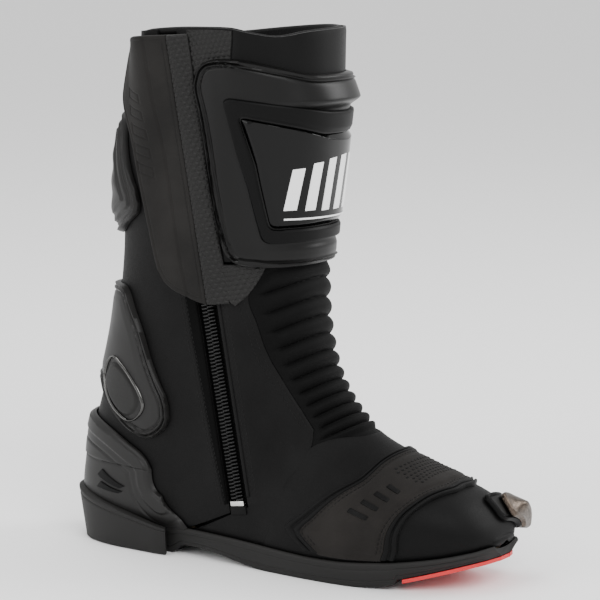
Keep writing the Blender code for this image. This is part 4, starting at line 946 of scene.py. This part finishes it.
badge_corners = [(4.50, 131), (4.75, 116), (5.10, 106), (5.38, 102.5), (5.60, 109), (5.35, 121), (5.05, 131),
                 (4.78, 137)]
badge_leather = leather("badge_leather", (0.0080, 0.0078, 0.0074), 0.42, depth=0.00004, cloud=0.2, shine=0.2)
rim_metal = start_finish("badge_rim_metal", (0.075, 0.074, 0.072), 0.16, 1.0)[0]
BADGE_BASE = ON_LEATHER + 0.0040
for side in ("inner", "outer"):
    rim_line = even_outline(badge_corners, 11.0, 180)
    hole = inset(rim_line, 1.7)
    core = inset(rim_line, 1.5)
    if side == "outer":
        rim_line, hole, core = (np.stack([line[::-1, 0], -line[::-1, 1]], 1) for line in (rim_line, hole, core))
    band_shell("badge_ring_" + side, rim_line, hole,
                           lambda share, d: BADGE_BASE + 0.0014 * np.sin(np.pi * np.clip(share, 0.06, 0.94))**0.7,
                           BADGE_BASE - 0.0006, rim_metal, rows=9, cad_node="badge_rim_" + side)
    middle_line = core.mean(0) + 0 * core
    band_shell("badge_face_" + side, core, middle_line,
                       lambda share, d: BADGE_BASE - 0.0003 + 0.0017 * smooth(share, 0.16, 0.30), BADGE_BASE - 0.0006,
                       badge_leather, rows=30, filled=True, cad_node="badge_" + side)

# ---- Heel cup -------------------------------------------------------------------------------------
# A stiff moulded cup round the heel, ribbed along its upper edge, with a parting line across
# the back and two small air vents on each side, each shown as a black patch of painted shade.
edge_station = through(*[(angle, station) for station, angle in ((13, 108), (12, 113), (11, 118), (10, 121), (9, 124),
                                                                  (8, 129), (7.5, 136), (7.25, 143), (7.1, 150),
                                                                  (7.0, 159), (6.93, 180))])
cup_top = through((98, 6.68), (102, 6.35), (112, 5.98), (125, 5.68), (150, 5.45), (180, 5.40))
cup_front = through((98, 6.98), (106, 7.33), (118, 7.70), (133, 7.98), (180, 9))
angles = np.linspace(100, 260, 200)
from_back = np.minimum(angles, 360 - angles)
low, high = cup_top(from_back), np.minimum(cup_front(from_back), edge_station(from_back) - 0.07)
t, a = ring_grid(angles, low, high, 110)
skin = surface(t, a)
from_top = edge_distance(skin, "bottom")
from_any = edge_distance(skin)
ribs = (0.0010 * (smooth(from_top, 0.0022, 0.0030) - smooth(from_top, 0.0105, 0.0115))
        - 0.0007 * bell(from_top, 0.0175, 0.0007))
band = 0.0007 * smooth(skin[..., 2], 0.055, 0.0565) - 0.0006 * bell(skin[..., 2], 0.0555, 0.0005)
lift = 0.0012 + 0.0022 * quarter_round(from_any, 0.0014) + ribs + band * smooth(from_any, 0.001, 0.003)
closed_shell("heel_armour", lifted(t, a, lift), lifted(t, a, 0.0012), plate_plastic,
             cad_node="heel_cup")
# Dark patches for the heel vents here and the pad's punched holes below: painted shade in place of the openings,
# darker than the black leather that shows through them.
painted_opening_shade = moulded("painted_opening_shade", (0.0015, 0.0015, 0.0015), 0.5, shine=0.1)
for side, sign in (("inner", 1), ("outer", -1)):
    for number, corners in enumerate((((6.42, 130), (6.34, 126.5), (6.70, 113.5), (6.71, 116.5)),
                                      ((6.60, 130), (6.53, 127), (6.78, 115.5), (6.79, 118.0)))):
        points = [(t_at, sign * a_at) for t_at, a_at in corners]
        points = points[::-1] if sign < 0 else points
        raised_patch("heel_vent_shade_%s_%d" % (side, number + 1), points, 0.0040, 0.0005, painted_opening_shade, 6, 14)

# ---- Shift pad -------------------------------------------------------------------------------------
# A wear pad of brown-black microfibre over the ball of the foot, double stitched round its
# edge, with rows of small punched holes on the top of the foot.
suede = leather("microfibre", (0.0120, 0.0108, 0.0100), 0.80, grain=2400, depth=0.00009, sheen=0.04, cloud=0.30,
                shine=0.08)
pad_top = through((0, 8.02), (10, 8.03), (25, 8.15), (37, 8.35), (44, 8.44), (57, 8.47), (78, 8.58), (90, 8.63),
                  (113, 8.98), (122, 9.15))
pad_front = through((0, 10.25), (15, 10.27), (22, 10.2), (35, 10.05), (47, 9.95), (58, 9.88), (72, 9.90), (95, 10.05),
                    (122, 10.08))
angles = np.linspace(-118, 118, 290)
t, a = ring_grid(angles, pad_top(np.abs(angles)), pad_front(np.abs(angles)), 84)
away = edge_distance(surface(t, a))
lift = (ON_LEATHER + 0.0016 * (0.4 + 0.6 * quarter_round(away, 0.0010)) - 0.0004 * bell(away, 0.0034, 0.0016)
        + 0.0002 * smooth(away, 0.004, 0.007))
closed_shell("wear_pad", lifted(t, a, lift), lifted(t, a, ON_LEATHER), suede, cad_node="shift_pad")
line = np.linspace(-108, 108, 240)
for number, off in enumerate((0.055, 0.115)):
    stitches("pad_back_seam_%d" % (number + 1), pad_top(np.abs(line)) + off, line, ON_LEATHER + 0.0014)
    stitches("pad_front_seam_%d" % (number + 1), pad_front(np.abs(line)) - off * 1.15, line, ON_LEATHER + 0.0014)

# A black leather edging, ridged twice, is sewn over the pad's front and back edges.
angles = np.linspace(-114, 114, 260)
for name, edge_line, low, high in (("front", pad_front, -0.03, 0.24), ("back", pad_top, -0.14, 0.05)):
    share = np.linspace(0, 1, 22)[:, None]
    line = edge_line(np.abs(angles))
    t, a = line + low + (high - low) * share, np.repeat(angles[None], 22, 0)
    away = np.minimum(share, 1 - share)
    lift = 0.0030 - 0.0013 * bell(share, 0.5, 0.10) - 0.0024 * bell(away, 0, 0.08)
    closed_shell("pad_edging_" + name, lifted(t, a, lift), lifted(t, a, 0.0001), toe_leather)
for number in range(4):
    start = 66 - number * 8.5
    corners = [(8.86, start), (8.84, start - 3.4), (9.30, start - 1.2), (9.32, start + 2.2)]
    raised_patch("pad_mark_%d" % (number + 1), [(t_at + number * 0.03, a_at) for t_at, a_at in corners],
                 ON_LEATHER + 0.0016, 0.0009, toe_leather)

# Each punched hole is a small dark disc let into the pad, eight-sided with a thin wall: painted
# shade in place of the opening, darker than the black leather seen through it.
rows_at, columns_at = np.meshgrid(np.linspace(8.55, 9.55, 7), np.linspace(-24, 24, 13), indexing="ij")
t0 = (rows_at + 0.04 * (np.abs(columns_at) / 24)).ravel()
a0 = columns_at.ravel() + (np.arange(7) % 2 * 2.0).repeat(13)
turn = np.linspace(0, 2 * np.pi, 8, endpoint=False)
t_ring = t0[:, None] + 0.0007 / 0.017 * np.cos(turn) * 0.9
a_ring = a0[:, None] - np.degrees(0.0007 / 0.040 * np.sin(turn))
top_ring, low_ring = lifted(t_ring, a_ring, ON_LEATHER + 0.00205), lifted(t_ring, a_ring, ON_LEATHER + 0.0014)
points = np.concatenate([top_ring, low_ring], 1).reshape(-1, 3)
k, after = np.arange(8), (np.arange(8) + 1) % 8
faces = []
for number in range(len(t0)):
    base = number * 16
    faces += [tuple(base + k), tuple(base + 8 + k[::-1])]
    faces += (np.stack([after, k, k + 8, after + 8], 1) + base).tolist()
finished("pad_hole_shade", points, faces, painted_opening_shade, 1, mend="turn")

# ---- Toe slider -------------------------------------------------------------------------------------
# A black moulded bracket at the outer front of the toe carries a replaceable block of worn
# steel, held by two screws.
worn_steel, tree, shader, place, add = start_finish("worn_steel", (0.07, 0.055, 0.045), 0.34, 1.0)
scratch = add("TexNoise", {"Vector": place}, Scale=420.0, Detail=6.0, Roughness=0.7, Distortion=1.5)
tree.links.new(tint(add, scratch.outputs["Fac"], 0.35, 0.65, (0.030, 0.022, 0.017), (0.13, 0.105, 0.085)),
               shader.inputs["Base Color"])
bump = add("Bump", {"Height": scratch.outputs["Fac"]}, Strength=0.5, Distance=0.0001)
tree.links.new(bump.outputs["Normal"], shader.inputs["Normal"])
ON_TOE = 0.0012
t, a = wrap_columns(-44, 44, through((0, 11.02), (32, 11.03), (40, 11.10), (44, 11.25)),
                    through((0, 12.36), (30, 12.34), (40, 12.20), (44, 12.02)), 120, 60)
toe_ridges = ((0.0012, 0.0005, 0.0004), (0.0028, 0.0005, -0.0004))
closed_shell("toe_bracket", plate_face(t, a, ON_TOE, 0.0020, 0.0012, toe_ridges), lifted(t, a, ON_TOE),
             dark_plastic, cad_node="slider_bracket")
BLOCK_BASE = ON_TOE + 0.0032
t, a = wrap_columns(-54, 34, through((0, 11.20), (24, 11.21), (31, 11.30), (34, 11.44)),
                    through((0, 12.26), (24, 12.22), (31, 12.12), (34, 11.98)), 90, 46)
wedge = 0.0062 * np.clip((t - 11.22) / 0.5, 0, 1) * (1 - smooth(t, 11.78, 12.2)) * smooth(-a, 22, 52)
face = plate_face(t, a, BLOCK_BASE, 0.0030, 0.0012, (), wedge)
closed_shell("slider_block", face, lifted(t, a, BLOCK_BASE), worn_steel, cad_node="toe_slider")


def screw(name, t_at, a_at, base, radius, cad_node):
    """A button-head screw: a turned profile from rim to socket, and a six-sided socket."""
    foot = lifted(np.array(t_at), np.array(a_at), base)
    out = unit(lifted(np.array(t_at), np.array(a_at), base + 0.01) - foot)
    side = unit(np.cross(out, (0.0, 0.0, 1.0)))
    other = np.cross(out, side)
    turn = np.linspace(0, 2 * np.pi, 36, endpoint=False)
    socket = 0.45 / np.cos(np.mod(turn, np.pi / 3) - np.pi / 6) * np.cos(np.pi / 6)
    profile = [(1.0, 0.0), (1.0, 0.25), (0.93, 0.5), (0.75, 0.75), (0.58, 0.85)]
    rings = [(radius * r + 0 * turn, 0.0018 * h) for r, h in profile]
    rings += [(radius * socket, 0.0018 * 0.85), (radius * socket * 0.96, 0.0018 * 0.35),
              (0 * turn + 1e-6, 0.0018 * 0.35)]
    circle = side * np.cos(turn)[:, None] + other * np.sin(turn)[:, None]
    points = [foot + circle * reach[:, None] + out * rise for reach, rise in rings]
    count = len(rings)
    index = np.arange(count * 36).reshape(count, 36)
    after = np.roll(index, -1, 1)
    faces = np.stack([index[:-1], after[:-1], after[1:], index[1:]], -1).reshape(-1, 4).tolist()
    faces += [tuple(index[0][::-1]), tuple(index[-1])]
    finished(name, np.concatenate(points), faces, nickel, 35, cad_node=cad_node, mend="turn")


screw("block_screw_1", 11.75, -36, BLOCK_BASE + 0.0024, 0.0030, "slider_screw_1")
screw("block_screw_2", 11.34, -66, BLOCK_BASE + 0.0024, 0.0030, "slider_screw_2")

# ---- Sole ----------------------------------------------------------------------------------------
# A one-piece rubber sole cups the upper: a low heel block, a raised waist and a flat tread
# that springs up at the toe, with lines moulded round its wall and a red tread let in in front.
SOLE_LIP, SOLE_EDGE, TOE_SPRING, RED_TREAD, RED_START = 0.0026, 0.0030, 0.017, 0.0024, 10.4


def ground(y):
    """Height of the underside: flat heel and tread, the waist and the toe raised softly."""
    waist = 0.0065 * smooth(-y, -0.070, -0.060) * (1 - smooth(-y, -0.045, 0.010))
    return waist + TOE_SPRING * 1.25 * smooth(-y, 0.070, 0.183)


across = np.linspace(0, 1, 41)


def heel_flare(stations):
    """How far the sole stands out more round the heel."""
    return 0.0032 * smooth(7.75 - stations, 0, 0.5)


def sole_foot(stations):
    """The ground face, a row a station, as wide as the upper and its edge."""
    edge = feather(stations)[:, None]
    t = np.repeat(stations[:, None], len(across), 1)
    foot = lifted(t, edge + (360 - 2 * edge) * across, 0.0012)
    spread = 2 * across - 1
    foot[..., 0] += -np.sign(spread) * np.abs(spread)**2 * SOLE_EDGE
    back, toe = smooth(7.4 - stations, 0, 0.4), smooth(stations, 12.0, 12.9)
    foot[..., 1] += (back * SOLE_EDGE * 2 - toe * 0.0010)[:, None]
    tip = (foot[:, :1, 0] + foot[:, -1:, 0]) / 2
    width = 1 + heel_flare(stations) / 0.030 - 0.45 * smooth(stations, 12.3, 12.97)**2
    foot[..., 0] = tip + (foot[..., 0] - tip) * width[:, None]
    foot[..., 2] = ground(foot[..., 1])
    return foot


def lofted(name, loops, finish, cad_node):
    """A solid through closed loops of points, capped at both ends."""
    rows, count = loops.shape[:2]
    index = np.arange(rows * count).reshape(rows, count)
    after = np.roll(index, -1, 1)
    faces = np.stack([index[:-1], index[1:], after[1:], after[:-1]], -1).reshape(-1, 4).tolist()
    faces += [tuple(range(count)), tuple(range(rows * count - 1, (rows - 1) * count - 1, -1))]
    return finished(name, loops, faces, finish, 45, "boot", cad_node, "turn")


rubber = moulded("rubber", (0.0110, 0.0107, 0.0103), 0.60, shine=0.18, grain=500.0, depth=0.00008)
red_rubber = moulded("red_rubber", (0.52, 0.022, 0.025), 0.50, shine=0.30, grain=500.0)
stations = dense([6.965, 7.0, 7.05, 7.12, 7.25, 7.4, 7.7, 8.05, 8.75, 9.8, 10.2, 10.35, 11, 11.8, 12.45, 12.7, 12.85,
                  12.97], 0.05)
edge = feather(stations)[:, None]
t = np.repeat(stations[:, None], len(across), 1)
top = lifted(t, edge + (360 - 2 * edge) * across, 0.0012)
foot = sole_foot(stations)
foot[stations > RED_START - 0.1, :, 2] += RED_TREAD + 0.0006
tread = foot.copy()
grooves = smooth(np.abs(np.mod(foot[..., 1] / 0.009 + np.abs(foot[..., 0]) / 0.012, 1) - 0.5), 0.30, 0.38)
on_ground = (across > 0.08) & (across < 0.92)
tread[..., 2] += 0.0012 * grooves * on_ground * (ground(foot[..., 1]) < 0.004)
walls = []
for side, out_way in ((-1, 1.0), (0, -1.0)):
    edge_here = edge[:, 0] if side == 0 else 360 - edge[:, 0]
    lip_out = lifted(stations, edge_here, 0.0012 + SOLE_LIP + heel_flare(stations))
    end = foot[:, side]
    rim_in = top[:, side]
    s = np.linspace(0, 1, 26)[:, None, None]
    wall = lip_out[None] + (end - lip_out)[None] * s
    bulge = (0.0007 * np.sin(np.pi * s[..., 0]) - 0.0006 * bell(s[..., 0], 0.22, 0.035)
             - 0.0005 * bell(s[..., 0], 0.72, 0.03))
    wall[..., 0] += out_way * bulge * smooth(12.8 - stations, 0, 0.5)
    round_lip = rim_in[None] + (lip_out - rim_in)[None] * np.array([0.3, 0.6, 0.85])[:, None, None]
    round_lip[..., 2] += np.array([0.0006, 0.0008, 0.0005])[:, None]
    walls.append(np.concatenate([round_lip, wall[:-1]]))
right, left = (np.swapaxes(wall, 0, 1) for wall in walls)
lofted("rubber_sole", np.concatenate([top, right, tread[:, ::-1], left[:, ::-1]], 1), rubber, "outsole")

# The heel block's side wall stands up round the heel cup: straight, drawn in towards the
# ground, with a rounded lip and one line moulded round it.
HEEL_MIDDLE, BREAST, HEEL_BACK, WALL_THICKNESS = 0.090, 0.066, 0.150, 0.0045
stations, angles = np.meshgrid(np.linspace(6.2, 8.6, 160), np.linspace(92, 268, 500), indexing="ij")
skin = surface(stations, angles)
skin = skin[(skin[..., 2] < 0.036) & (skin[..., 1] > 0.045)] - (0, HEEL_MIDDLE, 0)
way, reach = np.arctan2(skin[:, 0], skin[:, 1]), np.hypot(skin[:, 0], skin[:, 1])
turns = np.linspace(-2.05, 2.05, 70)
furthest = np.array([reach[np.abs(way - turn) < 0.06].max() for turn in turns])
furthest = np.convolve(np.pad(furthest, 3, mode="edge"), np.ones(7) / 7, mode="valid")
turn = np.linspace(-2.05, 2.05, 240)
furthest = np.interp(turn, turns, furthest)
plan = np.stack([np.sin(turn), np.cos(turn), 0 * turn], 1)
upper = plan * (furthest + 0.0066)[:, None] + (0, HEEL_MIDDLE, 0)
upper[:, 2] = np.interp(upper[:, 1], (BREAST, HEEL_BACK), (0.0190, 0.0350))
lower = plan * (furthest + 0.0016)[:, None] + (0, HEEL_MIDDLE, 0.0006)
share = np.linspace(0, 1, 44)[:, None, None]
outer = upper + (lower - upper) * share
flat = unit((outer - (0, HEEL_MIDDLE, 0)) * (1, 1, 0))
pull = 0.0016 * (1 - quarter_round(share, 0.05)) + 0.0006 * bell(share, 0.14, 0.02)
closed_shell("heel_side_wall", outer - flat * pull, outer - flat * WALL_THICKNESS, rubber)

# The red tread is let into the underside of the toe.
stations = dense([RED_START, 11, 11.8, 12.45, 12.7, 12.85, 12.97], 0.06)
foot = sole_foot(stations)
lofted("red_sole_piece", np.concatenate([foot + (0, 0, RED_TREAD), foot[:, ::-1]], 1), red_rubber,
       "red_tread")

# ---- Inside the boot --------------------------------------------------------------------------------
# Mesh lining, foam, stiffeners and the footbed: patches of the same shape, set behind the
# leather, with soft edges.
lining_cloth = leather("lining_mesh", (0.0040, 0.0040, 0.0041), 0.92, grain=1100, depth=0.00035, sheen=0.12,
                       cloud=0.2, shine=0.08)
foam = leather("foam", (0.045, 0.045, 0.045), 0.95, grain=700, depth=0.0002, cloud=0.2, shine=0.08)
board = leather("insole_fibre", (0.21, 0.165, 0.115), 0.85, grain=900, depth=0.0001, cloud=0.3, shine=0.15)
angles = np.linspace(-180, 180, 241)[:-1]
rim_line = np.stack([rim_station(angles) + 0.03, angles], 1)
ankle_line = np.stack([5.5 + 0 * angles, angles], 1)
band_shell("shaft_mesh_lining", rim_line, ankle_line, lambda share, d: -0.0062 + 0 * share, -0.0072, lining_cloth,
                    rows=90, cad_node="shaft_lining")


def soft_layer(name, stations, low, high, lift, thickness, finish, cad_node, columns=60):
    """A layer set behind the leather; its thickness fades over its last 3 mm."""
    fine = dense(stations, 0.05)
    ends = [np.interp(fine, stations, np.broadcast_to(end, len(stations))) for end in (low, high)]
    t, a = strip_grid(fine, *ends, columns)
    fade = 0.35 + 0.65 * smooth(edge_distance(surface(t, a)), 0, 0.003)
    piece = closed_shell(name, lifted(t, a, lift + thickness * fade), lifted(t, a, lift), finish, "boot",
                         cad_node)


BEHIND = -LEATHER - 0.0006 - 0.0024
foot_stations = [5.54, 5.9, 6.2, 6.5, 6.75, 7, 7.3, 7.6, 7.9, 8.4, 9, 9.6, 10.2, 10.8, 11.3, 11.8]
reach = np.interp(foot_stations, (6.5, 7.3), (179.5, 120))
soft_layer("foot_mesh_lining", foot_stations, -reach, reach, -0.0072, 0.0010, lining_cloth, "foot_lining", 90)
soft_layer("shin_foam_layer", [0.6, 2.95], -95, 52, BEHIND, 0.0024, foam, "shin_foam")
soft_layer("ankle_foam_inner", [4.65, 5.65], 94, 126, BEHIND, 0.0024, foam, "ankle_pad_inner")
soft_layer("ankle_foam_outer", [4.65, 5.65], -126, -94, BEHIND, 0.0024, foam, "ankle_pad_outer")
soft_layer("heel_stiffener", [6.0, 6.3, 6.6, 6.84], [104, 102, 106, 112], [256, 258, 254, 248], BEHIND, 0.0024, board,
           "heel_counter")
soft_layer("toe_stiffener", [10.4, 12.2], -112, 112, BEHIND, 0.0024, board, "toe_puff", 90)
soft_layer("foam_footbed", [7.3, 8, 9, 10, 11, 12], 152, 208, -0.0089, 0.0045, foam, "footbed")
soft_layer("fibre_board", [7.12, 12.4], 151, 209, -LEATHER, LEATHER, board, "insole_board")
shank_steel = start_finish("shank_steel", (0.42, 0.41, 0.40), 0.35, 1.0)[0]
soft_layer("spring_shank", [7.35, 8.8], 174, 186, -LEATHER - 0.0018, 0.0012, shank_steel, "steel_shank", 12)

# The collar's edge is a padded roll, bound in thin leather, between the leather and the lining.
section = np.linspace(0, 2 * np.pi, 25)[:-1]
angles = np.linspace(-180, 180, 201)[:-1]
RADIUS = 0.0024
a, turn = np.meshgrid(angles, section)
t = rim_station(a) + 0.045 - RADIUS * np.sin(turn) / 0.043
roll_points = lifted(t, a, -LEATHER - 0.0003 - RADIUS + RADIUS * np.cos(turn))
index = np.arange(24 * 200).reshape(24, 200)
faces = np.stack([index, np.roll(index, -1, 0), np.roll(np.roll(index, -1, 0), -1, 1), np.roll(index, -1, 1)], -1)
roll = finished("collar_roll", roll_points, faces.reshape(-1, 4).tolist(), black_leather, None,
                mend="turn")
